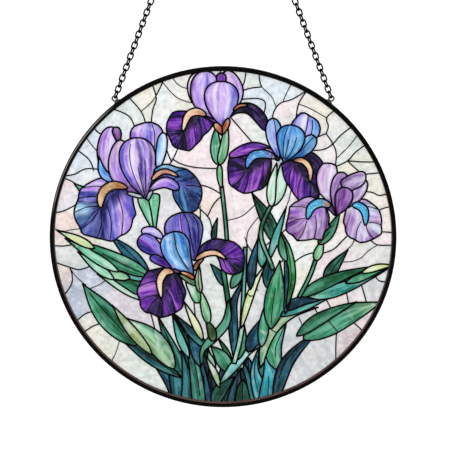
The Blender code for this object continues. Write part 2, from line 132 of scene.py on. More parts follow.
class SUNCATCHER_PG_colours(bpy.types.PropertyGroup):
    """Glass and metal colours. The picture's rows name them."""

    frost: colour("Frost", "Highlights of the lightest petals", 0xF0EAFF)
    pearl: colour("Pearl", "Light middle of the top iris", 0xD9CDF8)
    blush: colour("Blush", "Pink glass behind the petals", 0xDCC3E2)
    lavender: colour("Lavender", "Upright petals", 0xC4A4EA)
    mauve: colour("Mauve", "Curled upright petals", 0xB48CD8)
    lilac: colour("Lilac", "Falls of the far iris", 0xB79CCB)
    silver_lilac: colour("Silver lilac", "Light parts of the far iris", 0xC9BDDD)
    dusk: colour("Dusk", "Shaded lilac", 0x8A63A6)
    plum: colour("Plum", "Inner petals of the far iris", 0x75428C)
    dark_plum: colour("Dark plum", "Throats of the light irises", 0x4A2A66)
    orchid: colour("Orchid", "Lit edges of violet falls", 0xA05FC0)
    violet: colour("Violet", "Lit parts of violet falls", 0x7A34AE)
    deep_violet: colour("Deep violet", "Body of violet falls", 0x4E1A8A)
    night_violet: colour("Night violet", "Shaded violet falls", 0x2A0F5C)
    ink_violet: colour("Ink violet", "Darkest violet glass", 0x170736)
    periwinkle: colour("Periwinkle", "Blue lavender petals", 0x9A96E0)
    iris_blue: colour("Iris blue", "Strong blue lavender", 0x6E66CC)
    slate_blue: colour("Slate blue", "Body of the left iris's fall", 0x5058AA)
    indigo: colour("Indigo", "Shaded folds of blue falls", 0x2C2F78)
    ice_blue: colour("Ice blue", "Lightest blue glass", 0xA9D4F8)
    sky: colour("Sky", "Light blue petals", 0x6AA5E6)
    azure: colour("Azure", "Clear blue petals", 0x4F9BD0)
    river_blue: colour("River blue", "Blue falls", 0x3A70AC)
    deep_blue: colour("Deep blue", "Shaded blue falls", 0x22447E)
    turquoise: colour("Turquoise", "Beards of the far iris", 0x35A8DA)
    gold: colour("Gold", "Grainy beard glass", 0xBF9C6C)
    copper: colour("Copper", "Copper-coloured beards", 0xB5734F)
    apricot: colour("Apricot", "Light ends of the beards", 0xE8C09A)
    cream_white: colour("Cream white", "Lightest ends of the beards", 0xF3E4CF)
    pale_mint: colour("Pale mint", "Light bracts", 0xC4E2CF)
    mint: colour("Mint", "Bracts and bright leaves", 0x8FD3B2)
    light_green: colour("Light green", "Broad light leaves", 0x86C294)
    yellow_green: colour("Yellow green", "Slim light leaves", 0x97AB76)
    straw: colour("Straw", "Yellow leaf tips", 0xDBE5B4)
    sage: colour("Sage", "Grey green leaves", 0x9CBB94)
    olive: colour("Olive", "Shaded stems and buds", 0x55764A)
    grass: colour("Grass", "Bright green leaf", 0x33944A)
    jade: colour("Jade", "Middle green leaves", 0x4FA57F)
    leaf_green: colour("Leaf green", "Main green leaves", 0x358261)
    emerald: colour("Emerald", "Strong green leaves", 0x1F6E4B)
    pine: colour("Pine", "Dark green leaves", 0x175040)
    sea_green: colour("Sea green", "Blue green leaves", 0x3E9A8E)
    lagoon: colour("Lagoon", "Bright blue green glass", 0x2F9AA6)
    pale_teal: colour("Pale teal", "Light blue green glass", 0x7CC4BE)
    teal: colour("Teal", "Dark blue green leaves", 0x1A6068)
    petrol: colour("Petrol", "Dark blue leaves", 0x104C62)
    deep_water: colour("Deep water", "Glass among the lowest leaves", 0x0A3646)
    pond: colour("Pond", "Darkest glass among the leaves", 0x08262C)
    opal: colour("Opal", "Ground glass", 0xEDEFEE)
    opal_grey: colour("Grey opal", "Ground glass in shade", 0xD8DADC)
    opal_blue: colour("Blue opal", "Ground glass, blue sheets", 0xDCE6EE)
    opal_green: colour("Green opal", "Ground glass, green sheets", 0xDFE6DF)
    opal_pink: colour("Pink opal", "Ground glass, pink sheets", 0xF0E3E6)
    opal_cream: colour("Cream opal", "Ground glass, cream sheets", 0xEEEADA)
    opal_peach: colour("Peach opal", "Ground glass, peach sheets", 0xF0DFD6)
    cloud_blue: colour("Cloud blue", "Ground glass, deeper blue sheet", 0xBFC9DA)
    rose_grey: colour("Rose grey", "Ground glass, rosy grey sheet", 0xD9C8CC)
    lead_black: colour("Lead black", "Patina on the solder lines", 0x070606)
    lead_rubbed: colour("Rubbed lead", "Where the patina is worn", 0x2A2624)
    came_black: colour("Came black", "Blackened rim", 0x040303)
    # Painted highlight: the cement's brown stands in for the rim's lower inner lip lit from above.
    lip_highlight_brown: colour("Cement brown", "Cement along the foot of the rim", 0x5E4B47)
    cement_dark: colour("Cement shade", "Pits in the cement", 0x140D0C)
    # Painted highlight: the grey line along the rim's crown at the upper left, where a lamp shines on
    # it.
    came_highlight_grey: colour("Came grey", "Rubbed crown of the rim", 0x8D8A88)
    steel_black: colour("Steel black", "Blackened wire", 0x060505)
    solder_grey: colour("Solder grey", "Bright solder on the pads", 0xA8A6A4)
    floor_white: colour("Floor white", "Floor of the studio", 0xF6F6F6)


# How an outline swells from its foot to its tip: the powers of u and of 1 - u.
SWELL = {
    "petal": (0.95, 0.46),
    "lobe": (0.48, 0.38),
    "fall": (0.38, 0.50),
    "band": (0.30, 0.45),
    "beard": (0.45, 0.55),
    "bract": (0.50, 0.85),
    "leaf": (0.80, 1.20),
    "blade": (0.15, 1.10),
    "stem": (0.0, 0.0),
}


# Marks on one shape, in terms of u along its spine and v across it, 1 at the left edge.


def rib(v=0.0, start=0.0, end=1.0):
    """A line lengthwise."""
    return [("line", [(start + (end - start) * step / 8, v) for step in range(9)])]


def bar(u, side=0, slant=0.1):
    """A slanting line from the midrib to one edge, or to both."""
    sides = (side,) if side else (-1, 1)
    return [("line", [(u + slant * step / 3, way * 1.05 * step / 3) for step in range(4)])
            for way in sides]


def flare(start, end, *turns):
    """The line that the glass flares out from, and lines from it to places round the edge."""
    return [("axis", (start, end)), *(("ray", turn) for turn in turns)]


def waves(count, depth):
    """How often the edge waves, and how far as a share of half the width."""
    return [("waves", (count, depth))]


def also(kind, width, points):
    """A second outline that is one with the first."""
    return [("part", (kind, width, points))]


# The picture, from front to back. Each row: kind of outline, width, the points its spine passes
# from foot to tip, its glass at the foot, middle, tip, left edge and right edge as one looks
# along the spine, after a slash the glass that fans round it from left to right, and its marks.
IRIS_TOP = (
    ("beard", 6.8, ((-14.5, 108), (-23, 111.5), (-31, 107.5), (-35.3, 93.3)),
     "copper apricot cream_white apricot cream_white"),
    ("band", 3.2, ((8.5, 112), (13, 116), (18, 117.2), (22, 116.5)), "copper copper apricot"),
    ("petal", 6, ((-1, 90.5), (-3.5, 96), (-7.5, 101.5)), "copper copper apricot"),
    ("petal", 6, ((-1, 90.5), (1.5, 97), (5, 105.5)), "copper copper copper"),
    ("petal", 30, ((-1, 98), (-1.5, 118), (-1, 138)),
     "iris_blue mauve lavender mauve sky / mauve lavender frost lavender lavender frost"
     " periwinkle iris_blue"),
    ("petal", 9, ((-1.5, 132), (-1.5, 139), (-1.5, 145.5)), "deep_violet violet plum"),
    ("petal", 25, ((-6, 104), (-15.5, 122), (-15, 147)),
     "deep_violet mauve lavender iris_blue mauve / dusk lavender pearl iris_blue lavender mauve"),
    ("petal", 18, ((-12, 108), (-21.5, 126), (-21, 146)), "mauve blush frost"),
    ("petal", 15, ((5, 110), (11, 127), (2, 147)), "mauve lavender blush lavender mauve"),
    ("band", 5, ((-3, 101), (-10, 106), (-19, 109)), "violet orchid violet"),
    ("fall", 33, ((-30, 111.5), (-33, 96), (-33, 77)), "ink_violet deep_violet ink_violet"
     " / deep_violet night_violet violet ink_violet night_violet deep_violet night_violet violet"
     " deep_violet violet", flare((-20, 110), (-36, 92), 0.13, 0.35, 0.6, 0.85),
     also("petal", 17, ((-7, 104), (-16, 101), (-30, 93))), waves(7, 0.06)),
    ("petal", 10.5, ((1, 102), (10, 112.5), (22, 114.5), (31.5, 107), (38.7, 94.5)),
     "ink_violet ink_violet ink_violet / ink_violet night_violet ink_violet", rib(0.15, 0.3, 0.95)),
    ("bract", 8, ((-3, 64.5), (1, 80), (3.5, 103)), "jade light_green pale_mint"),
    ("bract", 9.5, ((-4, 64.5), (-6.5, 80), (-6, 98)), "jade jade sea_green"),
    ("band", 5, ((-3, 64.5), (-3, 55), (-1.5, 44)), "light_green light_green sage"),
    ("stem", 3, ((-1.5, 46), (0.5, 30), (2.2, 14), (3.2, 0), (3.5, -8)),
     "sage leaf_green leaf_green"),
    ("leaf", 8, ((5, -56), (3, -76), (-9, -91), (-18, -102), (-20, -118)),
     "emerald leaf_green emerald"),
    ("stem", 4, ((0, -29), (3, -48), (5, -64), (3, -76)), "leaf_green emerald jade"),
)
IRIS_LEFT = (
    ("beard", 8, ((-83.5, 44), (-95, 46.5), (-104, 42), (-107.3, 34), (-107.3, 26)),
     "copper gold apricot"),
    ("band", 5, ((-62.5, 51), (-56, 57), (-49, 58.7), (-38.5, 54)), "copper copper apricot"),
    ("petal", 32, ((-68, 34.5), (-74, 62), (-76, 88.5)),
     "dark_plum lavender blush iris_blue mauve"
     " / periwinkle iris_blue lavender frost lavender indigo iris_blue lavender indigo mauve",
     rib(0.42, 0.1, 0.9), rib(0.02, 0.05, 0.5), rib(-0.4, 0.1, 0.6)),
    ("petal", 17, ((-72, 38), (-91, 56), (-89, 86.5)), "plum lavender blush dusk blush"),
    ("petal", 8, ((-91.5, 83), (-92, 91), (-94.5, 98)), "dark_plum plum dusk"),
    ("leaf", 7.5, ((-93, 49), (-105, 57), (-108.5, 72)), "slate_blue sky ice_blue"),
    ("petal", 19, ((-95, 50), (-101, 70), (-97, 98)),
     "plum mauve lavender mauve lavender / dusk mauve lavender frost mauve dusk"),
    ("band", 4.5, ((-68, 36), (-77, 38), (-84.5, 39.5)), "slate_blue cloud_blue cloud_blue"),
    ("band", 4, ((-66.5, 33), (-65, 37), (-61.5, 42)), "slate_blue cloud_blue cloud_blue"),
    ("band", 7, ((-67, 37), (-77, 42), (-88, 45)), "ink_violet plum dusk"),
    ("lobe", 53, ((-95, 51), (-103, 27), (-106, -2)), "indigo slate_blue indigo"
     " / iris_blue lavender lavender periwinkle iris_blue indigo indigo slate_blue deep_blue"
     " ice_blue deep_blue periwinkle slate_blue lavender lavender iris_blue",
     flare((-90, 46), (-107, 28), 0.13, 0.27, 0.4, 0.5, 0.6, 0.72, 0.86), waves(9, 0.045)),
    ("petal", 10, ((-66.5, 39.5), (-58, 46.5), (-49, 49), (-38.5, 43)),
     "indigo lavender iris_blue indigo lavender"),
    ("lobe", 25, ((-46, 58), (-33, 46), (-29, 22)), "slate_blue river_blue deep_blue"
     " / azure river_blue deep_blue indigo deep_blue deep_blue river_blue indigo indigo",
     flare((-52, 56), (-34, 46), 0.15, 0.41, 0.7, 0.9), waves(5, 0.05),
     also("petal", 16, ((-66.5, 40.5), (-58, 54), (-48, 57), (-35, 48)))),
    ("petal", 9.5, ((-58, 57), (-54.5, 74), (-52, 93)),
     "dusk ice_blue ice_blue indigo ice_blue / sky ice_blue frost ice_blue"),
    ("petal", 30, ((-62, 60), (-66, 82), (-66, 102)), "indigo iris_blue lavender"
     " / mauve lavender mauve periwinkle iris_blue lavender periwinkle indigo", rib(-0.45, 0.3, 0.95),
     waves(5, 0.03)),
    ("blade", 10, ((-60.5, 39), (-60, 24), (-59.5, 3)), "jade mint jade"),
    ("blade", 11, ((-70, 37), (-66.5, 22), (-60, 3)), "jade mint jade"),
    ("leaf", 6.5, ((-113, 35), (-121.5, 41), (-130.5, 48)), "emerald jade jade"),
)
IRIS_LOW = (
    ("beard", 6.8, ((-43, -31.5), (-51, -31), (-56, -40), (-54.3, -55.5)),
     "copper apricot cream_white apricot cream_white"),
    ("beard", 5.4, ((-25, -20.5), (-16, -15), (-6, -14), (3, -19.8)), "copper apricot apricot"),
    ("band", 4, ((-25, -30), (-23, -24), (-17, -19)), "copper copper apricot"),
    ("band", 4.5, ((-25, -37.5), (-31, -33.5), (-38, -31)), "copper copper apricot"),
    ("petal", 26, ((-26, -35), (-40, -15), (-44, 5)), "deep_blue sky sky"
     " / periwinkle sky ice_blue azure deep_blue ice_blue azure river_blue deep_blue",
     rib(-0.05, 0.15, 0.97)),
    ("petal", 8, ((-44, -30), (-54, -22), (-64.5, -17.5)), "ink_violet deep_violet iris_blue"),
    ("petal", 16.5, ((-48, -23), (-63, -8), (-74.5, -1)), "night_violet iris_blue iris_blue"
     " / iris_blue indigo violet iris_blue mauve", waves(4, 0.03)),
    ("petal", 9, ((-51, -3), (-60, 4.5), (-72, 5.5)), "iris_blue periwinkle frost"
     " / frost periwinkle lavender iris_blue"),
    ("petal", 34, ((-25, -21), (-33, 0), (-37, 22)), "indigo iris_blue iris_blue"
     " / indigo iris_blue indigo iris_blue mauve iris_blue indigo indigo indigo deep_blue",
     rib(0.1, 0.2, 0.97), rib(-0.3, 0.15, 0.97), rib(-0.75, 0.3, 0.9)),
    ("lobe", 42, ((-50, -28), (-54, -48), (-55, -71)), "ink_violet deep_violet deep_violet"
     " / ink_violet night_violet deep_violet violet night_violet deep_violet ink_violet"
     " ink_violet night_violet violet deep_violet violet orchid violet night_violet"
     " ink_violet", flare((-44, -32), (-55, -52), 0.1, 0.25, 0.4, 0.52, 0.66, 0.82), waves(8, 0.05)),
    ("band", 6, ((-28, -34), (-36, -29.5), (-46, -30.5)), "dusk night_violet mauve"),
    ("lobe", 23, ((-6, -7), (6.5, -16), (9, -33.5)), "ink_violet deep_violet violet"
     " / night_violet ink_violet deep_violet violet deep_violet ink_violet violet"
     " deep_violet night_violet", flare((-16, -16), (2, -19), 0.22, 0.5, 0.72),
     also("petal", 15, ((-25, -21), (-15, -10.5), (-3, -9), (8, -17))), waves(5, 0.04)),
    ("bract", 6, ((-20, -50), (-22, -38), (-21, -25)), "olive sage olive", rib(0, 0.1, 0.9)),
    ("bract", 6, ((-22, -43), (-30, -38), (-40, -33)), "pine olive jade"),
    ("bract", 9, ((-22, -59.5), (-25.5, -49), (-33, -40.5)), "grass light_green pale_mint"),
    ("bract", 8, ((-13, -77.5), (-16, -63), (-20, -48)), "leaf_green light_green pale_mint"),
    ("bract", 8, ((-9, -94), (-10, -85), (-15, -74)), "olive olive leaf_green"),
)
IRIS_RIGHT = (
    ("beard", 7.6, ((46.5, 70.5), (37, 74), (28, 73.5), (22.8, 68.5), (20.8, 61)),
     "dusk azure sky"),
    ("beard", 5.5, ((61, 68.5), (70, 68), (76, 61), (76.3, 48.5)), "copper apricot copper"),
    ("petal", 25, ((53, 66.5), (58, 83), (61, 99.5)),
     "deep_blue azure sky / river_blue azure sky river_blue sky azure azure river_blue",
     rib(0.45, 0.1, 0.9), rib(0.1, 0.1, 0.6), rib(-0.4, 0.1, 0.7)),
    ("petal", 14, ((49, 70), (45, 87), (43.2, 105.5)),
     "iris_blue periwinkle azure periwinkle sky / periwinkle sky periwinkle azure sky",
     rib(-0.25, 0.3, 0.97)),
    ("petal", 13, ((57, 68), (70, 78), (80, 90)),
     "deep_blue azure sky / periwinkle sky azure river_blue azure", rib(0.1, 0.2, 0.95)),
    ("petal", 26, ((60, 70), (69, 88), (74, 109)), "iris_blue periwinkle periwinkle"
     " / iris_blue periwinkle frost periwinkle sky azure", rib(-0.1, 0.3, 1), rib(-0.5, 0.3, 0.9),
     waves(5, 0.09)),
    ("band", 5, ((49, 68), (44, 75), (36, 79)), "ink_violet plum dusk"),
    ("band", 11, ((43, 75), (25, 79), (5, 72)), "dark_plum violet violet violet violet"
     " / violet orchid violet deep_violet"),
    ("lobe", 36, ((30, 81), (22, 63), (22, 39.7)), "ink_violet ink_violet violet"
     " / ink_violet ink_violet violet orchid violet night_violet violet deep_violet ink_violet"
     " night_violet violet ink_violet ink_violet",
     flare((42, 72), (21, 60), 0.17, 0.33, 0.45, 0.56, 0.7, 0.85), waves(8, 0.05),
     also("lobe", 22, ((40, 71), (31, 60), (30, 43)))),
    ("lobe", 25, ((54, 69), (67, 54), (79, 31)), "ink_violet deep_violet night_violet"
     " / deep_violet ink_violet ink_violet night_violet ink_violet ink_violet night_violet"
     " deep_violet violet violet deep_violet", flare((60, 67), (77, 48), 0.45, 0.6, 0.75, 0.9),
     waves(6, 0.04)),
    ("petal", 12.5, ((56, 69.5), (70, 73), (82, 63), (87, 38)),
     "night_violet ink_violet night_violet"),
    ("bract", 8, ((42.5, 27.5), (42.5, 45), (47, 66)), "light_green pale_mint mint"),
    ("bract", 11, ((42.5, 28), (50.5, 46), (51, 66)), "mint pale_mint pale_mint"),
    ("petal", 15, ((44, 46), (46.5, 60), (50, 74)), "cloud_blue opal_grey cloud_blue"),
)
IRIS_FAR = (
    ("beard", 8, ((94.5, 27.5), (86, 31), (77.5, 27), (73.8, 15.5)), "copper turquoise turquoise"),
    ("beard", 7.3, ((113, 28.5), (120, 28), (125, 22), (125, 10.5)),
     "turquoise turquoise turquoise"),
    ("petal", 16, ((100, 19.5), (105, 32), (107.5, 44.5)), "dark_plum plum dusk"
     " / plum dusk plum orchid dusk plum"),
    ("lobe", 13.5, ((103, 47), (113, 49.5), (125.5, 55)), "dusk lilac silver_lilac"
     " / lilac dusk silver_lilac lilac dusk", waves(3, 0.11)),
    ("petal", 14.5, ((99, 20), (100.5, 40), (105, 58)), "dark_plum dusk lilac lilac plum"
     " / lilac dusk lilac plum"),
    ("petal", 17.5, ((97, 28), (90, 47), (94, 66.5)), "dusk lilac blush"
     " / mauve blush lilac frost lilac", waves(4, 0.06)),
    ("petal", 11, ((103, 24), (116, 36), (124.8, 51)), "dusk lilac silver_lilac lilac dusk"),
    ("band", 6, ((100, 19.5), (96, 26), (88, 29)), "dark_plum dusk copper"),
    ("lobe", 38, ((84, 34), (75, 16), (74, -3)), "mauve silver_lilac dusk"
     " / lilac dusk lilac dusk lilac lilac plum lilac dusk plum mauve lilac dusk lilac blush",
     flare((90, 30), (74, 17), 0.1, 0.25, 0.42, 0.58, 0.76), waves(8, 0.08)),
    ("band", 5.5, ((102, 20), (106, 27), (115, 31)), "dark_plum dusk lilac"),
    ("lobe", 33.5, ((115, 33), (122.5, 15), (125, -4)), "silver_lilac silver_lilac periwinkle"
     " / lilac cloud_blue silver_lilac lilac cloud_blue dusk lilac silver_lilac lilac"
     " dusk silver_lilac", flare((113, 30), (125, 12), 0.15, 0.35, 0.52, 0.72), waves(7, 0.06)),
    ("bract", 9, ((84, -6), (94, 5), (102, 21)), "olive emerald leaf_green", rib(0, 0, 0.5)),
    ("bract", 8, ((81.5, -21), (84.5, -12), (87.5, -3)), "sage light_green sage"),
    ("stem", 3.2, ((82, -19), (76, -36), (67, -54)), "pine leaf_green pine"),
)
LEFT_LEAVES = (
    ("leaf", 7.5, ((-113, -10), (-128, -2), (-146, 6)), "light_green straw light_green"),
    ("leaf", 8.5, ((-92, -31), (-113, -18), (-139, -1)), "pale_mint mint jade"),
    ("leaf", 13.5, ((-64, -35), (-93, -21), (-126, -3)), "emerald leaf_green jade emerald jade",
     rib(0.1, 0.05, 0.7)),
    ("leaf", 8, ((-96, -38), (-111, -27), (-128, -13)), "pale_mint mint jade"),
    ("leaf", 8, ((-82, -36.5), (-93, -34), (-105, -27)), "light_green light_green sage"),
    ("leaf", 7, ((-68, -38), (-81, -34.5), (-97, -30)), "teal sea_green jade"),
    ("leaf", 13, ((-68, -51), (-79, -43), (-97, -38)), "pine emerald pine"),
    ("leaf", 6.5, ((-66, -58), (-88, -46.5), (-111, -33)), "pale_mint pale_mint mint"),
    ("leaf", 11, ((-65, -33), (-82, -15), (-99, 1)), "teal petrol petrol", rib(-0.1, 0.1, 0.8)),
    ("leaf", 9, ((-63, -106), (-82, -83), (-98, -61)), "sage yellow_green sage"),
    ("leaf", 18, ((-43, -119), (-62, -92), (-86, -72.5)),
     "leaf_green sage light_green / leaf_green sage light_green jade leaf_green"),
    ("leaf", 20, ((-77, -98), (-104, -69), (-124, -42)), "pine leaf_green jade emerald leaf_green"
     " / jade leaf_green emerald pine", rib(-0.1, 0.2, 0.85)),
    ("leaf", 10, ((-37, -127), (-70, -105), (-110, -70)), "pine teal pine teal pine",
     rib(-0.1, 0, 0.6)),
)
CENTRE_LEAVES = (
    ("stem", 3.4, ((42, 28), (37.5, 19), (33.5, 8), (34, -4), (40, -18), (44, -29)),
     "pine jade leaf_green emerald jade"),
    ("leaf", 6.5, ((40, -21), (47, 2), (55.5, 27)), "pine sea_green teal"),
    ("leaf", 12, ((48, -8), (38.5, 16), (25, 40)), "emerald pine emerald", rib(0.2, 0.3, 1)),
    ("leaf", 6, ((56, -64), (61, -37), (58, -12), (50, 7)), "emerald grass leaf_green",
     rib(0.3, 0.2, 0.8)),
    ("leaf", 9, ((34, -27), (34.5, -12), (31, 3)), "jade sea_green jade"),
    ("leaf", 8, ((24, -47), (25.5, -26), (31, 0)), "petrol petrol deep_blue"),
    ("leaf", 6.5, ((16, -82), (21.5, -60), (28.5, -41), (38, -23)), "sage straw straw",
     bar(0.45, 0, 0.03)),
    ("stem", 4, ((17, -80), (14, -97), (9.5, -114)), "pale_mint mint jade"),
    ("leaf", 9, ((56, -22), (52.5, -9), (49, 5)), "sea_green leaf_green emerald"),
    ("leaf", 17.5, ((42, -83), (46, -52), (50, -21)), "leaf_green jade light_green jade leaf_green"
     " / leaf_green jade grass leaf_green jade leaf_green", rib(0.1, 0.1, 0.6)),
    ("leaf", 7, ((55, -69), (57.5, -44), (54, -15)), "petrol petrol teal"),
    ("leaf", 10, ((39, -46), (40, -29), (40, -12)), "leaf_green teal leaf_green",
     rib(0, 0.2, 0.9)),
    ("leaf", 9.5, ((34, -99), (36, -80), (37.5, -59)), "mint sea_green jade / sea_green mint jade"),
    ("leaf", 11, ((22, -104), (27, -90), (33, -74)), "petrol petrol deep_water"),
    ("leaf", 9, ((7, -46), (13, -35), (18, -24)), "pine leaf_green emerald"),
    ("stem", 3.2, ((16.5, -79), (18.3, -45), (19.6, -9)), "jade sea_green pine"),
    ("leaf", 8, ((11, -114), (9, -82), (9.5, -58), (19.5, -36)), "teal petrol teal",
     rib(0.2, 0.2, 0.6)),
    ("leaf", 8, ((11, -112), (17, -97), (19, -79)), "emerald leaf_green emerald"),
    ("leaf", 5, ((-8, -4), (-8, 5), (-5, 17)), "emerald pine jade"),
    ("leaf", 7, ((1, -44), (-4, -33), (-11, -24)), "emerald teal sea_green"),
)
RIGHT_LEAVES = (
    ("leaf", 9, ((53, -66), (67, -58), (86, -56.5)), "teal petrol teal"),
    ("leaf", 8, ((48, -71), (70, -63), (93, -55)), "teal sea_green teal"),
    ("leaf", 9, ((33, -118), (37, -98), (44.5, -83), (60, -70.5), (84, -63)),
     "jade sage sea_green", bar(0.48, 0, 0.01)),
    ("leaf", 6, ((122, -32), (136, -27), (151, -25)), "yellow_green straw straw"),
    ("leaf", 11, ((67, -54), (94, -39), (131, -26)), "jade emerald emerald"),
    ("leaf", 7, ((108, -41), (124, -35), (144, -28)), "sea_green jade jade"),
    ("leaf", 11.5, ((71, -54.5), (103, -46.5), (146, -28)), "light_green sea_green leaf_green"),
    ("leaf", 11, ((90.5, -42), (96.5, -28), (110, -11)), "pine pine emerald", rib(-0.1, 0.3, 0.9)),
    ("leaf", 11, ((65, -89), (87, -72.5), (118, -58)), "pine leaf_green emerald"),
    ("leaf", 22, ((71, -92), (104, -72), (141, -58)), "emerald leaf_green sage leaf_green jade",
     bar(0.36, 0, 0.03)),
    ("leaf", 11.5, ((45, -152), (57, -113), (84, -84)), "pond deep_water petrol",
     rib(0.3, 0.3, 0.9)),
)
LOW_LEAVES = (
    ("leaf", 8.5, ((-3, -133), (11, -115), (21, -104), (37, -95)), "sea_green pale_teal pale_mint",
     bar(0.68, 0, 0.01)),
    ("leaf", 13, ((6, -123), (-1, -109), (-11, -98)), "emerald leaf_green emerald"),
    ("leaf", 6, ((-3, -136), (-8, -122), (-16, -107)), "sage sage olive"),
    ("leaf", 5.5, ((-7, -119), (-11, -110), (-14, -102)), "sage jade sage"),
    ("leaf", 4.5, ((8, -116), (3, -103), (-5, -90)), "pine emerald pine"),
    ("leaf", 7, ((-18, -93), (-25, -77), (-35, -57)), "yellow_green straw yellow_green"),
    ("leaf", 8, ((-13, -100), (-26, -88), (-43, -69)), "jade teal pine"),
    ("leaf", 7, ((-30, -109), (-38, -91), (-45, -69)), "pale_teal sea_green teal"),
    ("leaf", 11, ((-20, -117), (-24, -100), (-32, -84)), "petrol petrol deep_water"),
    ("blade", 12, ((-21, -152), (-27, -110), (-44, -68)), "petrol teal leaf_green leaf_green jade",
     rib(-0.2, 0.1, 0.8)),
    ("blade", 13, ((-30, -152), (-32, -128), (-37, -101)), "petrol teal petrol"),
    ("blade", 21, ((-33, -152), (-43, -110), (-58, -70)), "petrol teal pine teal leaf_green",
     rib(-0.25, 0.35, 1)),
    ("blade", 13, ((-35, -152), (-47, -132), (-62, -114)), "deep_water petrol teal"),
    ("leaf", 14, ((48, -120), (45, -100), (56, -77)), "leaf_green jade teal / jade jade petrol",
     rib(-0.2, 0.3, 0.95)),
    ("blade", 17, ((40, -152), (41, -126), (37, -102)), "teal lagoon teal"
     " / teal lagoon lagoon petrol", rib(0.1, 0, 0.5)),
    ("blade", 11, ((35, -152), (28, -122), (32, -98)), "pale_teal lagoon azure",
     rib(0.1, 0.2, 0.8)),
    ("blade", 8, ((30, -152), (23, -128), (18, -111)), "lagoon teal teal"),
    ("leaf", 12, ((-9, -152), (-2, -138), (10, -126)), "teal pine teal"),
)
# The short dark leaves along the foot of the picture: feet, tips and glass, left to right.
FOOT_LEAVES = tuple(
    ("blade", 13, ((foot, -153), ((foot + tip) / 2, -135), (tip, top)), glass, rib(0, 0.1, 0.7))
    for foot, tip, top, glass in (
        (-15, -18, -110, "deep_water petrol deep_water"),
        (-8, -12, -112, "pond deep_water deep_water"),
        (17, 18, -129, "pine pine emerald"),
        (9, 15, -119, "pond deep_water deep_water"),
        (24, 16, -118, "pond deep_water deep_water"),
        (1, 2, -119, "pond pond deep_water"),
        (45, 50, -114, "pine teal emerald"),
    )
)
BACK_LEAVES = tuple(
    ("blade", 34, ((foot, -175), (foot, -130), (tip, top)), glass, rib(0.1))
    for foot, tip, top, glass in (
        (-34, -36, -98, "pond petrol teal"),
        (-14, -16, -92, "pond deep_water petrol"),
        (6, 2, -100, "pond deep_water deep_water"),
        (24, 22, -108, "pond pond petrol"),
        (38, 42, -106, "pond teal teal"),
    )
)
PICTURE = {
    "iris_low_glass": IRIS_LOW,
    "iris_left_glass": IRIS_LEFT,
    "iris_far_glass": IRIS_FAR,
    "iris_right_glass": IRIS_RIGHT,
    "iris_top_glass": IRIS_TOP,
    "left_leaves_glass": LEFT_LEAVES,
    "centre_leaves_glass": CENTRE_LEAVES,
    "right_leaves_glass": RIGHT_LEAVES,
    "low_leaves_glass": (*LOW_LEAVES, *FOOT_LEAVES, *BACK_LEAVES),
}

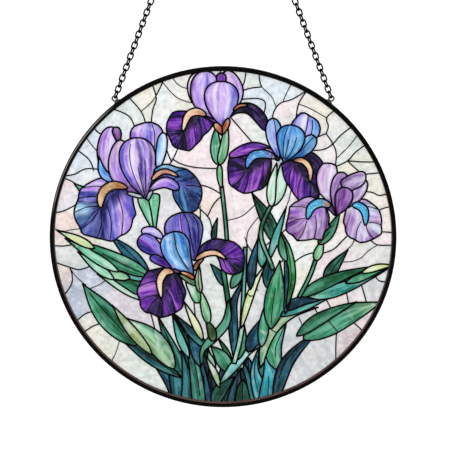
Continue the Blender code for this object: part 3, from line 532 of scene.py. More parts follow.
# The lead lines across the ground, each as the points it passes.
GROUND_LINES = (
    ((-113, 98), (-108, 92), (-100, 93)), ((-119, 88), (-114, 81), (-107, 73)),
    ((-128, 78), (-117, 69), (-113, 59)), ((-143, 54), (-130, 56), (-120, 61), (-104, 60)),
    ((-143, 54), (-131, 49), (-118, 38)), ((-150, 22), (-141, 23), (-129, 29)),
    ((-150, 8), (-143, 6), (-137, 5)), ((-137, 6), (-131, 7), (-122, 8)),
    ((-151, -7), (-141, -8), (-130, -6)), ((-149, -22), (-135, -27), (-126, -29), (-114, -25)),
    ((-135, -27), (-133, -34), (-134, -43), (-142, -54)),
    ((-135, -28), (-129, -36), (-121, -43)), ((-117, -46), (-108, -42), (-102, -37)),
    ((-131, -77), (-122, -69), (-112, -66)), ((-124, -86), (-115, -80), (-106, -77)),
    ((-92, -94), (-95, -104), (-100, -114)), ((-64, -68), (-61, -80), (-58, -90)),
    ((-97, 114), (-86, 110), (-80, 105), (-76, 95)), ((-82, 124), (-71, 111), (-67, 99)),
    ((-71, 112), (-64, 118), (-59, 124), (-52, 138)), ((-62, 137), (-58, 123), (-61, 114), (-63, 99)),
    ((-54, 139), (-44, 127), (-37, 122), (-27, 119)), ((-44, 141), (-38, 134), (-29, 131)),
    ((-23, 149), (-22, 140)), ((-2, 150), (-2, 142)), ((8, 149), (9, 138)),
    ((20, 149), (19, 139), (16, 131)), ((31, 147), (33, 134), (42, 125), (46, 116)),
    ((15, 129), (24, 132), (34, 133)), ((15, 122), (30, 123), (37, 119), (35, 107)),
    ((60, 137), (55, 127), (52, 120)), ((73, 130), (60, 122), (50, 119), (44, 111), (43, 102)),
    ((73, 130), (66, 119), (64, 109), (63, 101)), ((66, 118), (76, 114), (90, 106)),
    ((99, 114), (90, 106), (92, 99), (90, 92)), ((80, 88), (87, 91), (90, 92)),
    ((90, 92), (96, 83), (99, 74), (98, 61)), ((76, 77), (88, 78), (96, 83), (103, 91), (115, 100)),
    ((119, 93), (110, 81), (100, 71)), ((127, 84), (116, 76), (109, 68), (99, 63)),
    ((109, 68), (121, 67), (136, 67)), ((109, 68), (115, 62), (121, 57)),
    ((124, 56), (142, 58)), ((121, 41), (131, 40), (137, 37), (147, 40)),
    ((133, 22), (141, 26), (150, 28)), ((138, 5), (152, 4)),
    ((129, -2), (136, -7), (151, -7)), ((136, -7), (128, -12), (121, -19), (112, -22), (103, -22)),
    ((133, -31), (137, -39), (147, -40)), ((121, -40), (124, -49), (127, -60)),
    ((108, -45), (111, -60)), ((90, -54), (98, -69)), ((81, -64), (88, -76)),
    ((67, -72), (70, -80), (71, -91)), ((101, -78), (100, -95), (100, -115)),
    ((104, -79), (112, -75.5), (118, -79), (127, -88)), ((111, 3), (104, -4), (97, -11), (86, -15)),
    ((117, 3), (114, -6), (108, -12)), ((61, -24), (70, -17), (82, -13)),
    ((50, 2), (56, 8), (62, 12)), ((60, 46), (58, 34), (54, 24)),
    ((4, 15), (17, 19), (28, 29)), ((31, 18), (24, 9), (21, 2), (21, -10)),
    ((19, 0), (22, -8), (28, -16)), ((-45, 70), (-36, 65), (-23, 62), (-4, 61)),
    ((-39, 80), (-44, 69), (-51, 60)), ((-51, 84), (-48, 74), (-45, 67)),
    ((-54, 91), (-45, 93)), ((-21, 47), (-11, 44), (-1, 38)), ((-1, 37), (-8, 30), (-14, 18)),
    ((-23, 28), (-13, 18), (-10, 9), (-9, -4)), ((-36, 27), (-36, 19)), ((-20, 28), (-20, 11)),
    ((6, 107), (18, 93), (30, 79)), ((37, -8), (45, -1)), ((44, -30), (55, -18)),
    ((-26, -56), (-24, -75), (-20, -90)), ((-12, -76), (-14, -86)),
    ((-105, 60), (-98, 52)), ((4, -60), (9, -64)), ((24, -40), (31, -48)),
)
# Sheets of the ground: the glass, and the middle and reach of the area that it is cut for.
GROUND_SHEETS = (
    ("opal_blue", -104, 100, 30), ("opal_blue", -122, 66, 20), ("opal_green", -84, 112, 12),
    ("opal_cream", -66, 126, 12), ("opal_cream", -45, 133, 12), ("opal_blue", -32, 138, 8),
    ("opal", -50, 108, 25), ("opal_pink", -15, 72, 22), ("opal_pink", -130, 40, 14),
    ("opal_peach", -138, 14, 14), ("opal_pink", -20, 50, 16), ("opal_peach", -10, 32, 12),
    ("opal_cream", -28, 17, 9), ("opal_blue", -14, 3, 9), ("opal_grey", -75, 14, 18),
    ("opal", -88, -12, 16), ("opal_green", -140, -4, 14), ("opal_grey", -130, -22, 14),
    ("opal_peach", -142, -40, 9), ("cloud_blue", -124, -54, 22), ("opal_cream", -120, -76, 8),
    ("opal_cream", -106, -92, 12), ("opal_grey", -118, -36, 9), ("opal_green", -78, -120, 26),
    ("opal_pink", -84, -60, 22), ("opal_grey", -22, -70, 16), ("opal_green", -4, -50, 22),
    ("opal_green", 24, 138, 10), ("opal_blue", 26, 127, 12), ("opal_blue", 46, 134, 12),
    ("opal_pink", 56, 112, 12), ("opal_green", 24, 96, 20), ("opal_cream", 84, 116, 10),
    ("opal_pink", 80, 104, 10), ("opal_pink", 86, 84, 8), ("opal_green", 104, 96, 12),
    ("opal_green", 118, 80, 12), ("opal_cream", 112, 60, 9), ("opal_green", 130, 60, 12),
    ("opal_cream", 138, 44, 12), ("opal_pink", 142, 14, 10), ("opal_pink", 124, -14, 12),
    ("opal_peach", 100, 0, 9), ("opal", 66, -4, 20), ("opal_cream", 76, -32, 14),
    ("opal_pink", 16, 28, 18), ("opal_pink", 30, 4, 9), ("opal_grey", 142, -38, 10),
    ("opal_green", 134, -26, 12), ("opal_peach", 102, -57, 7), ("opal_pink", 88, -66, 7),
    ("rose_grey", 112, -88, 12), ("opal_grey", 84, -108, 22), ("opal_grey", 62, -92, 12),
    ("opal_pink", 126, -66, 12), ("opal_grey", 30, -50, 14), ("opal_grey", 132, -44, 10),
)

# How the outlines and lines are drawn. Lengths are in millimetres of the picture.
NEARBY = 0.02
OUTLINE_STEP = 2.4
LINE_STEP = 2.5
SMALLEST_PANE = 12.0
SAME_GLASS_WEIGHT = 3.0
FLARE_ANGLE = math.radians(48)
FLARE_REACH = 15.0
FULL_TURN = 1.3
DISC_SIDES = 240
DISC_LAP = 1.2
PANE_INSET = 0.3
PICTURE_RISE = 1.5
PICTURE_Z = PANEL_CENTRE.z + PICTURE_RISE * MM

# How panes, beads and rings are made.
PANE_SEED, PANE_SEED_STEP = 11, 7919
PANE_TILT = 0.0022
RIM_SHADE = 0.72
FLOW_SCALE = 0.1
BEAD_SPACING = 0.9
JOINT_SHARE = 0.56
SHARP_ANGLE = math.radians(40)
MERGE_DISTANCE = 1e-6
RING_STEPS = 180
LIP = 0.0001
PAD_HALF = (0.0033, 0.0021)


# Outlines and routes on the picture's plane.


def along(points, u):
    """A point on the smooth curve through the points, with u from 0 at the first to 1 at the last."""
    route = [Vector(point) for point in points]
    route = [2 * route[0] - route[1], *route, 2 * route[-1] - route[-2]]
    place = u * (len(points) - 1)
    start = min(max(int(place), 0), len(points) - 2)
    t = place - start
    a, b, c, d = route[start : start + 4]
    bend = (2 * a - 5 * b + 4 * c - d) * t**2 + (3 * b - a - 3 * c + d) * t**3
    return b + ((c - a) * t + bend) / 2


def swell(u, foot, tip):
    """The share of the full width at u, for the two powers of a kind of outline."""
    if foot == tip == 0:
        return 1.0
    widest = foot / (foot + tip)
    most = widest**foot * (1 - widest) ** tip
    return max(u, 0) ** foot * max(1 - u, 0) ** tip / most


def run_of(points):
    return sum((Vector(b) - Vector(a)).length for a, b in zip(points, points[1:]))


class Shape:
    """One petal, leaf or stem: its outlines, its lines, and how its glass is coloured."""

    def __init__(self, piece, row, number):
        self.kind, width, self.points, glass, *marks = row
        self.piece, self.number = piece, number
        self.half = width / 2
        names, _, fan_names = glass.partition("/")
        names = names.split()
        self.tints = (*names[:3], *(names[3:] or (names[1], names[1])))
        self.fan = fan_names.split()
        told = [mark for group in marks for mark in group]
        self.waves = next((mark[1] for mark in told if mark[0] == "waves"), (0, 0.0))
        self.axis = next((mark[1] for mark in told if mark[0] == "axis"), None)
        self.outlines = [self.outline()]
        for mark, value in told:
            if mark == "part":
                part = Shape(piece, (*value, glass), number)
                self.outlines += part.outlines
        self.lines = [[self.place(u, v) for u, v in value] for mark, value in told if mark == "line"]
        self.lines += [self.ray(value) for mark, value in told if mark == "ray"]

    def flared(self, places):
        """(origins, turns, across) of places: where the glass flares from towards each, how far
        each is round that, 0 at the left of the foot, 0.5 at the tip and 1 at the right of the
        foot, and the same in mm from the tip."""
        start, end = (np.array(point, float) for point in self.axis)
        run = np.linalg.norm(end - start)
        way = (end - start) / run
        ahead = (places - start) @ way
        aside = (places - start) @ np.array([-way[1], way[0]])
        spot = np.clip(ahead - np.abs(aside) / math.tan(FLARE_ANGLE), 0, run)
        angle = np.arctan2(np.abs(aside), ahead - spot)
        across = run - spot + FLARE_REACH * angle
        most = run + FLARE_REACH * FULL_TURN
        turns = np.clip(0.5 - 0.5 * np.sign(aside) * across / most, 0, 1)
        return start + spot[:, None] * way, turns, np.sign(aside) * across

    def ray(self, turn):
        """A line from the flare's axis to a place round the edge, a little bent."""
        rim = self.outlines[0]
        near = rim[np.argmin(np.abs(self.flared(np.array(rim))[1] - turn))]
        origin = Vector(self.flared(np.array([near]))[0][0])
        end = origin + (near - origin) * 1.1
        bend = (end - origin).orthogonal() * 0.09 * math.copysign(1, 0.5 - turn)
        middle = (origin + end) / 2 + bend
        return [along((origin, middle, end), step / 10) for step in range(1, 11)]

    def side(self, u):
        heading = along(self.points, min(u + NEARBY, 1)) - along(self.points, max(u - NEARBY, 0))
        return Vector((-heading.y, heading.x)).normalized()

    def reach(self, u):
        """Half the width at u."""
        return self.half * swell(u, *SWELL[self.kind])

    def place(self, u, v):
        u = min(max(u, 0), 1)
        return along(self.points, u) + self.side(u) * self.reach(u) * v

    def outline(self):
        steps = max(8, round(run_of(self.points) * 1.1 / OUTLINE_STEP))
        us = [(1 - math.cos(math.pi * step / steps)) / 2 for step in range(steps + 1)]
        rim = [self.place(u, 1) for u in us]
        rim += [self.place(u, -1) for u in reversed(us) if self.reach(u) > 0.05]
        count, depth = self.waves
        if not count:
            return rim
        turns, moved = len(rim), []
        for step, here in enumerate(rim):
            way = rim[(step + 1) % turns] - rim[step - 1]
            share = step / turns
            lift = math.sin(2 * math.pi * (count * share + self.number * 0.37))
            lift += 0.5 * math.sin(2 * math.pi * (count * 1.7 * share + self.number * 0.71))
            lift *= depth * self.half * math.sin(math.pi * share) ** 0.7
            moved.append(here + Vector((-way.y, way.x)).normalized() * lift)
        return moved


def signed_area(loop):
    return sum(a.cross(b) for a, b in zip(loop, loop[1:] + loop[:1])) / 2


def left_handed(loop):
    """The loop, turned so that its inside is on the left."""
    return loop if signed_area(loop) > 0 else loop[::-1]


def circle(radius, sides, rise):
    turns = [2 * math.pi * side / sides for side in range(sides)]
    return [Vector((radius * math.cos(turn), radius * math.sin(turn) + rise)) for turn in turns]


def smooth_route(points):
    steps = max(2, round(run_of(points) / LINE_STEP))
    return [along(points, step / steps) for step in range(steps + 1)]


def edges_of(triangle):
    return [(min(pair), max(pair)) for pair in zip(triangle, triangle[1:] + triangle[:1])]


class Picture:
    """The disc cut into triangles along every outline and line, grouped into panes."""

    def __init__(self, sizes):
        self.shapes = []
        for piece, rows in PICTURE.items():
            for row in rows:
                self.shapes.append(Shape(piece, row, len(self.shapes)))
        self.ground = len(self.shapes)
        self.radius = (PANEL_RADIUS - sizes.came_face) / MM + DISC_LAP
        self.cut(sizes.glass_step / MM)
        self.group()
        self.join_small()
        self.measure()

    def cut(self, step):
        points, faces, owner, edges, drawn = [], [], [], [], []
        outlines = [(shape.number, loop) for shape in self.shapes for loop in shape.outlines]
        outlines.append((self.ground, circle(self.radius, DISC_SIDES, -PICTURE_RISE)))
        for number, outline in outlines:
            faces.append(range(len(points), len(points) + len(outline)))
            owner.append(number)
            points += left_handed(outline)
        lines = [(shape.number, line) for shape in self.shapes for line in shape.lines]
        lines += [(self.ground, smooth_route(line)) for line in GROUND_LINES]
        for number, line in lines:
            edges += [(len(points) + i, len(points) + i + 1) for i in range(len(line) - 1)]
            drawn += [number] * (len(line) - 1)
            points += line
        rise = step * math.sqrt(3) / 2
        rows = int(self.radius / rise)
        for row in range(-rows, rows + 1):
            half = math.sqrt(max(self.radius**2 - (row * rise) ** 2, 0)) - 1
            shift = step / 2 * (row % 2)
            for column in range(int((-half - shift) / step), int((half - shift) / step) + 1):
                points.append(Vector((column * step + shift, row * rise)))
        made = delaunay_2d_cdt(points, edges, [list(face) for face in faces], 0, 1e-5)
        places, sides, triangles, _, from_edges, from_faces = made
        self.places = places
        self.lead = {}
        for side, sources in zip(sides, from_edges):
            owners = {drawn[source] for source in sources if source < len(edges)}
            if owners:
                self.lead[(min(side), max(side))] = owners
        self.triangles, self.label = [], []
        for triangle, sources in zip(triangles, from_faces):
            found = sorted(owner[source] for source in sources)
            if not found or found[-1] != self.ground:
                continue
            a, b, c = (places[i] for i in triangle)
            turned = triangle if (b - a).cross(c - a) > 0 else triangle[::-1]
            self.triangles.append(tuple(turned))
            self.label.append(found[0])

    def group(self):
        """Joins triangles of one shape that meet across no line of that shape."""
        self.beside = {}
        for number, triangle in enumerate(self.triangles):
            for edge in edges_of(triangle):
                self.beside.setdefault(edge, []).append(number)
        self.pane = [-1] * len(self.triangles)
        self.panes = []
        for first in range(len(self.triangles)):
            if self.pane[first] >= 0:
                continue
            label = self.label[first]
            self.pane[first] = len(self.panes)
            members = [first]
            for number in members:
                for edge in edges_of(self.triangles[number]):
                    if label in self.lead.get(edge, ()):
                        continue
                    for other in self.beside[edge]:
                        if self.pane[other] < 0 and self.label[other] == label:
                            self.pane[other] = len(self.panes)
                            members.append(other)
            self.panes.append((label, members))
        self.folds = {
            edge
            for edge, owners in self.lead.items()
            if len(self.beside.get(edge, ())) == 2
            and self.pane[self.beside[edge][0]] == self.pane[self.beside[edge][1]]
            and self.label[self.beside[edge][0]] in owners
        }

    def area(self, number):
        a, b, c = (self.places[i] for i in self.triangles[number])
        return abs((b - a).cross(c - a)) / 2

    def join_small(self):
        """Joins each pane too small to cut to the neighbour it shares most border with."""
        sizes = {n: sum(map(self.area, members)) for n, (_, members) in enumerate(self.panes)}
        shared = {n: {} for n in sizes}
        for edge, numbers in self.beside.items():
            if len(numbers) == 2:
                one, other = (self.pane[number] for number in numbers)
                if one != other:
                    run = (self.places[edge[0]] - self.places[edge[1]]).length
                    shared[one][other] = shared[one].get(other, 0) + run
                    shared[other][one] = shared[other].get(one, 0) + run
        while True:
            least = min(sizes, key=sizes.get)
            if sizes[least] >= SMALLEST_PANE:
                break
            label = self.panes[least][0]

            def pull(other):
                weight = SAME_GLASS_WEIGHT if self.panes[other][0] == label else 1
                return shared[least][other] * weight

            nearest = max(shared[least], key=pull)
            for other, run in shared.pop(least).items():
                del shared[other][least]
                if other != nearest:
                    shared[nearest][other] = shared[nearest].get(other, 0) + run
                    shared[other][nearest] = shared[nearest][other]
            self.panes[nearest][1].extend(self.panes[least][1])
            sizes[nearest] += sizes.pop(least)
        self.panes = [self.panes[n] for n in sorted(sizes)]
        for number, (label, members) in enumerate(self.panes):
            for triangle in members:
                self.pane[triangle] = number
                self.label[triangle] = label

    def measure(self):
        """Says for each border whether it is a lead line, a line of the ground or a fold."""
        self.borders = {}
        for edge, numbers in self.beside.items():
            if len(numbers) == 2:
                one, other = (self.pane[number] for number in numbers)
                if one != other:
                    alike = self.panes[one][0] == self.panes[other][0]
                    ground = self.panes[one][0] == self.ground and alike
                    self.borders[edge] = "ground" if ground else "fold" if alike else "lead"
        for edge in self.folds:
            if edge not in self.borders:
                self.borders[edge] = "fold"


_cut = {}


def picture(context):
    """The cut picture, worked out once."""
    if "picture" not in _cut:
        _cut["picture"] = Picture(context.scene.suncatcher_sizes)
    return _cut["picture"]


# Colours and flow over one pane.


def shade(context, name):
    return np.array(getattr(context.scene.suncatcher_colours, name))


def smoothstep(low, high, value):
    t = np.clip((value - low) / (high - low), 0, 1)
    return t * t * (3 - 2 * t)


def blend(one, other, share):
    return one + (other - one) * np.asarray(share)[:, None]


def spine_place(shape, places):
    """(u, v, run) of places: along the spine, across it with 1 at the edge, and along in mm."""
    us = np.linspace(0, 1, 61)
    spine = np.array([along(shape.points, u) for u in us])
    sides = np.array([shape.side(u) for u in us])
    reach = np.array([max(shape.reach(u), 0.12 * shape.half) for u in us])
    runs = np.concatenate([[0], np.cumsum(np.linalg.norm(np.diff(spine, axis=0), axis=1))])
    away = places[:, None, :] - spine[None, :, :]
    nearest = np.argmin((away**2).sum(axis=2), axis=1)
    gap = away[np.arange(len(places)), nearest]
    across = (gap * sides[nearest]).sum(axis=1) / reach[nearest]
    heading = np.stack([sides[nearest][:, 1], -sides[nearest][:, 0]], axis=1)
    run = runs[nearest] + (gap * heading).sum(axis=1)
    return np.clip(run / runs[-1], 0, 1), np.clip(across, -1.2, 1.2), run


def ramp(context, names, share):
    """The colour at each share of the way along the named colours."""
    colours = np.array([shade(context, name) for name in names])
    spot = np.clip(share, 0, 1) * (len(names) - 1)
    low = np.minimum(spot.astype(int), len(names) - 2)
    return blend(colours[low], colours[low + 1], smoothstep(0.15, 0.85, spot - low))


def shape_glass(context, shape, places):
    """The tint and flow of places on a petal, leaf or stem."""
    u, v, run = spine_place(shape, places)
    foot, middle, tip, left, right = (shade(context, name) for name in shape.tints)
    tint = blend(blend(np.tile(foot, (len(u), 1)), middle, smoothstep(0.04, 0.4, u)),
                 tip, smoothstep(0.5, 0.98, u))
    leafy = shape.kind in ("leaf", "stem", "bract", "blade")
    weight = smoothstep(-0.3 if leafy else 0.2, 0.4 if leafy else 1.0, np.abs(v)) * 0.7
    tint = blend(tint, np.where(v[:, None] > 0, left, right), weight * (1 - 0.4 * u))
    seed = shape.number * 3.7
    wander = np.array([noise.noise(Vector((x * 0.09, z * 0.09, seed))) for x, z in places])
    if shape.axis:
        origins, turns, across = shape.flared(places)
        out = np.linalg.norm(places - origins, axis=1)
        tint = blend(np.tile(foot, (len(u), 1)), ramp(context, shape.fan, turns + 0.04 * wander),
                     smoothstep(0.05, 0.6, out / shape.half))
        flow = np.stack([out * FLOW_SCALE, across * FLOW_SCALE], axis=1)
        return tint, flow + [seed * 5, seed * 3]
    if shape.fan:
        share = (1 - v) / 2 + 0.05 * wander
        tint = blend(tint, ramp(context, shape.fan, share), 0.75 * smoothstep(0.05, 0.4, u))
    return tint, np.stack([run, v * shape.half], axis=1) * FLOW_SCALE + [seed * 5, seed * 3]


def ground_glass(context, places, draw):
    """The tint and flow of places on one pane of the ground."""
    middle = places.mean(axis=0)

    def reach(sheet):
        return math.hypot(middle[0] - sheet[1], middle[1] - sheet[2]) / sheet[3]

    near, next_near = sorted(GROUND_SHEETS, key=reach)[:2]
    own, other = shade(context, near[0]), shade(context, next_near[0])
    turn = draw.uniform(0, 2 * math.pi)
    way = np.array([math.cos(turn), math.sin(turn)])
    far = ((places - middle) * way).sum(axis=1) / 30
    tint = blend(np.tile(own, (len(places), 1)), other, np.clip(0.25 + far, 0, 0.7))
    spin = np.array([[way[0], -way[1]], [way[1], way[0]]])
    flow = (places @ spin) * FLOW_SCALE + [draw.uniform(0, 40), draw.uniform(0, 40)]
    return tint * draw.uniform(0.96, 1.03), flow


# Meshes.


def stood(x, z, depth):
    """A place of the picture, in millimetres, stood up in the panel at a depth in metres."""
    return x * MM, depth, z * MM + PICTURE_Z


def new_piece(name, verts, faces, material_names, face_materials=None, smooth=True):
    mesh = bpy.data.meshes.new(name)
    mesh.from_pydata(verts, [], faces)
    for material in material_names:
        mesh.materials.append(bpy.data.materials[material])
    if face_materials is not None:
        mesh.polygons.foreach_set("material_index", face_materials)
    mesh.polygons.foreach_set("use_smooth", [smooth] * len(mesh.polygons))
    piece = bpy.data.objects.new(name, mesh)
    bpy.context.scene.collection.objects.link(piece)
    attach(piece, "root")
    return piece


class GlassMesh:
    """Gathers the slabs of many panes in one mesh."""

    def __init__(self):
        self.verts, self.faces, self.kinds = [], [], []
        self.tints, self.flows, self.sharp = [], [], []

    def add(self, art, members, tint, flow, numbers, kind, sizes, draw, edged):
        """A slab: the pane's face at the front and the back, and a wall round it."""
        triangles = [art.triangles[member] for member in members]
        sides = {(t[i], t[(i + 1) % 3]) for t in triangles for i in range(3)}
        rim = [(a, b) for a, b in sides if (b, a) not in sides]
        inward = {}
        for a, b in rim:
            run = (art.places[b] - art.places[a]).normalized()
            for end in (a, b):
                inward[end] = inward.get(end, Vector((0, 0))) + Vector((-run.y, run.x))
        half = sizes.glass_depth / 2
        tilt = (draw.uniform(-1, 1) * PANE_TILT, draw.uniform(-1, 1) * PANE_TILT)
        middle = sum((art.places[n] for n in numbers), Vector((0, 0))) / len(numbers)
        seed = draw.uniform(0, 90)
        local = {}
        for layer, way in ((0, -1), (1, 1)):
            for n in numbers:
                place = art.places[n]
                if n in inward and inward[n].length > 1e-6:
                    place = place + inward[n].normalized() * PANE_INSET
                waved = noise.noise(Vector((place.x * 0.11, place.y * 0.11, seed + layer * 7)))
                lean = Vector(tilt).dot(place - middle) * MM
                depth = half + waved * sizes.glass_ripple + (lean if way < 0 else 0)
                local[(layer, n)] = len(self.verts)
                self.verts.append(stood(place.x, place.y, way * depth))
        for layer in (0, 1):
            for index, n in enumerate(numbers):
                self.tints.append(tint[index] * (RIM_SHADE if n in inward and edged else 1))
                self.flows.append(flow[index])
        before = len(self.faces)
        for a, b, c in triangles:
            self.faces.append((local[(0, a)], local[(0, b)], local[(0, c)]))
            self.faces.append((local[(1, c)], local[(1, b)], local[(1, a)]))
        for a, b in rim:
            self.faces.append((local[(0, b)], local[(0, a)], local[(1, a)], local[(1, b)]))
        self.kinds += [kind] * (len(self.faces) - before)

    def finish(self, name, materials):
        piece = new_piece(name, self.verts, self.faces, materials, self.kinds)
        mesh = piece.data
        tints = mesh.color_attributes.new("tint", "FLOAT_COLOR", "POINT")
        values = np.ones((len(self.verts), 4), np.float32)
        values[:, :3] = np.clip(np.array(self.tints), 0, 1)
        tints.data.foreach_set("color", values.ravel())
        corner = np.empty(len(mesh.loops), np.int32)
        mesh.loops.foreach_get("vertex_index", corner)
        flows = np.array(self.flows, np.float32)[corner]
        mesh.uv_layers.new(name="flow").data.foreach_set("uv", flows.ravel())
        mesh.set_sharp_from_angle(angle=SHARP_ANGLE)
        return piece


def pane_kind(art, label):
    return 1 if label < art.ground and art.shapes[label].kind == "beard" else 0


def glass_piece(context, name, wanted, materials):
    """One piece of all the panes whose shape is wanted."""
    art, sizes = picture(context), context.scene.suncatcher_sizes
    gathered = GlassMesh()
    for number, (label, members) in enumerate(art.panes):
        if not wanted(label):
            continue
        draw = random.Random(number * PANE_SEED_STEP + PANE_SEED)
        numbers = sorted({n for member in members for n in art.triangles[member]})
        places = np.array([art.places[n] for n in numbers])
        if label == art.ground:
            tint, flow = ground_glass(context, places, draw)
        else:
            tint, flow = shape_glass(context, art.shapes[label], places)
            tint = tint * draw.uniform(0.94, 1.08)
        gathered.add(art, members, tint, flow, numbers, pane_kind(art, label), sizes, draw,
                     label != art.ground)
    return gathered.finish(name, materials)


# Solder lines.


def traced(borders, places):
    """The borders as paths of points: (class, path) between joints, sharp turns and ends."""
    links = {}
    for (a, b), kind in borders.items():
        links.setdefault(a, []).append((b, kind))
        links.setdefault(b, []).append((a, kind))

    def through(point):
        if len(links[point]) != 2 or links[point][0][1] != links[point][1][1]:
            return False
        one, other = (places[n] - places[point] for n, _ in links[point])
        return one.normalized().dot(other.normalized()) < -0.3

    starts = [point for point in links if not through(point)]
    used, paths = set(), []
    for start in starts + list(links):
        for step, kind in links[start]:
            if (start, step) in used:
                continue
            path = [start, step]
            used |= {(start, step), (step, start)}
            while through(path[-1]) and path[-1] != start:
                further = next(n for n, _ in links[path[-1]] if n != path[-2])
                if (path[-1], further) in used:
                    break
                used |= {(path[-1], further), (further, path[-1])}
                path.append(further)
            paths.append((kind, path))
    joints = {p for p in links if not through(p)}
    return paths, joints, links


def spaced(route, least):
    """The route without points that crowd the one before."""
    kept = [route[0]]
    for place in route[1:-1]:
        if (place - kept[-1]).length >= least and (place - route[-1]).length >= least:
            kept.append(place)
    return kept + [route[-1]]


def eased(route):
    """The route with its inner points drawn towards their neighbours."""
    moved = [a * 0.25 + b * 0.5 + c * 0.25 for a, b, c in zip(route, route[1:], route[2:])]
    return [route[0], *moved, route[-1]]


BEAD = ((-1, -0.62), (-0.62, -0.93), (0, -1), (0.62, -0.93), (1, -0.62),
        (1, 0.62), (0.62, 0.93), (0, 1), (-0.62, 0.93), (-1, 0.62))


def add_bead(verts, faces, route, width, depth):
    """A solder bead swept along the route, closed at both ends."""
    count, base = len(BEAD), len(verts)
    for i, place in enumerate(route):
        before = route[i] - route[i - 1] if i else route[1] - route[0]
        after = route[i + 1] - route[i] if i + 1 < len(route) else before
        heading = before.normalized() + after.normalized()
        side = Vector((-heading.y, heading.x)).normalized()
        lean = max(side.dot(Vector((-after.y, after.x)).normalized()), 0.6)
        for across, deep in BEAD:
            spot = place + side * across * width / 2 / lean
            verts.append(stood(spot.x, spot.y, deep * depth / 2))
    for i in range(len(route) - 1):
        here, there = base + i * count, base + (i + 1) * count
        for k in range(count):
            after = (k + 1) % count
            faces.append((here + k, here + after, there + after, there + k))
    faces.append(tuple(base + k for k in reversed(range(count))))
    faces.append(tuple(base + (len(route) - 1) * count + k for k in range(count)))


def add_joint(verts, faces, place, radius, depth):
    """A rounded blob of solder through the panel."""
    sides, rings = 8, ((0.55, 0.93), (0.95, 0.62), (0.95, -0.62), (0.55, -0.93))
    base = len(verts)
    for spread, deep in rings:
        for side in range(sides):
            turn = 2 * math.pi * side / sides
            x = place.x + math.cos(turn) * spread * radius
            z = place.y + math.sin(turn) * spread * radius
            verts.append(stood(x, z, -deep * depth / 2))
    for deep in (1.0, -1.0):
        verts.append(stood(place.x, place.y, -deep * depth / 2))
    front, back = len(verts) - 2, len(verts) - 1
    for side in range(sides):
        after = (side + 1) % sides
        faces.append((front, base + side, base + after))
        for ring in range(len(rings) - 1):
            here, there = base + ring * sides, base + (ring + 1) * sides
            faces.append((here + side, there + side, there + after, here + after))
        last = base + (len(rings) - 1) * sides
        faces.append((back, last + after, last + side))


# Materials.


class Tree:
    """Short ways to add and join nodes in one tree."""

    def __init__(self, tree):
        self.tree = tree

    def node(self, kind, **values):
        made = self.tree.nodes.new(kind)
        for name, value in values.items():
            if hasattr(made, name):
                setattr(made, name, value)
            else:
                made.inputs[name.replace("_", " ")].default_value = value
        return made

    def join(self, source, target):
        self.tree.links.new(source, target)

    def feed(self, value, socket):
        """Gives the socket a number or a colour, or joins another socket to it."""
        if isinstance(value, (int, float)):
            socket.default_value = value
        elif isinstance(value, (tuple, list)):
            socket.default_value = (*value[:3], 1)
        else:
            self.join(value, socket)

    def maths(self, operation, one, other):
        made = self.node("ShaderNodeMath", operation=operation)
        for socket, value in zip(made.inputs, (one, other)):
            self.feed(value, socket)
        return made.outputs[0]

    def swing(self, value, gain):
        """The value about its middle, times the gain."""
        return self.maths("MULTIPLY", self.maths("SUBTRACT", value, 0.5), gain)

    def mix(self, one, other, share, way="MIX"):
        made = self.node("ShaderNodeMix", data_type="RGBA", blend_type=way)
        for socket, value in ((0, share), (6, one), (7, other)):
            self.feed(value, made.inputs[socket])
        return made.outputs[2]

    def spread(self, value, low, high, bottom=0.0, top=1.0):
        made = self.node("ShaderNodeMapRange", interpolation_type="SMOOTHSTEP")
        self.join(value, made.inputs["Value"])
        for name, number in (("From Min", low), ("From Max", high), ("To Min", bottom), ("To Max", top)):
            made.inputs[name].default_value = number
        return made.outputs[0]

    def noise(self, vector, scale, detail=3.0, stretch=(1, 1, 1), bend=0.0):
        mapped = self.node("ShaderNodeMapping", vector_type="POINT")
        mapped.inputs["Scale"].default_value = stretch
        self.join(vector, mapped.inputs["Vector"])
        made = self.node("ShaderNodeTexNoise", noise_dimensions="3D")
        made.inputs["Scale"].default_value = scale
        made.inputs["Detail"].default_value = detail
        made.inputs["Distortion"].default_value = bend
        self.join(mapped.outputs[0], made.inputs["Vector"])
        return made.outputs[0]


def new_group(name, inputs, outputs):
    """A node group with its sockets, as (tree helper, input sockets, output sockets)."""
    group = bpy.data.node_groups.new(name, "ShaderNodeTree")
    for label, kind, default in inputs:
        socket = group.interface.new_socket(name=label, in_out="INPUT", socket_type=kind)
        if default is not None:
            socket.default_value = default
    for label, kind in outputs:
        group.interface.new_socket(name=label, in_out="OUTPUT", socket_type=kind)
    tree = Tree(group)
    come, go = tree.node("NodeGroupInput"), tree.node("NodeGroupOutput")
    return tree, come.outputs, go.inputs


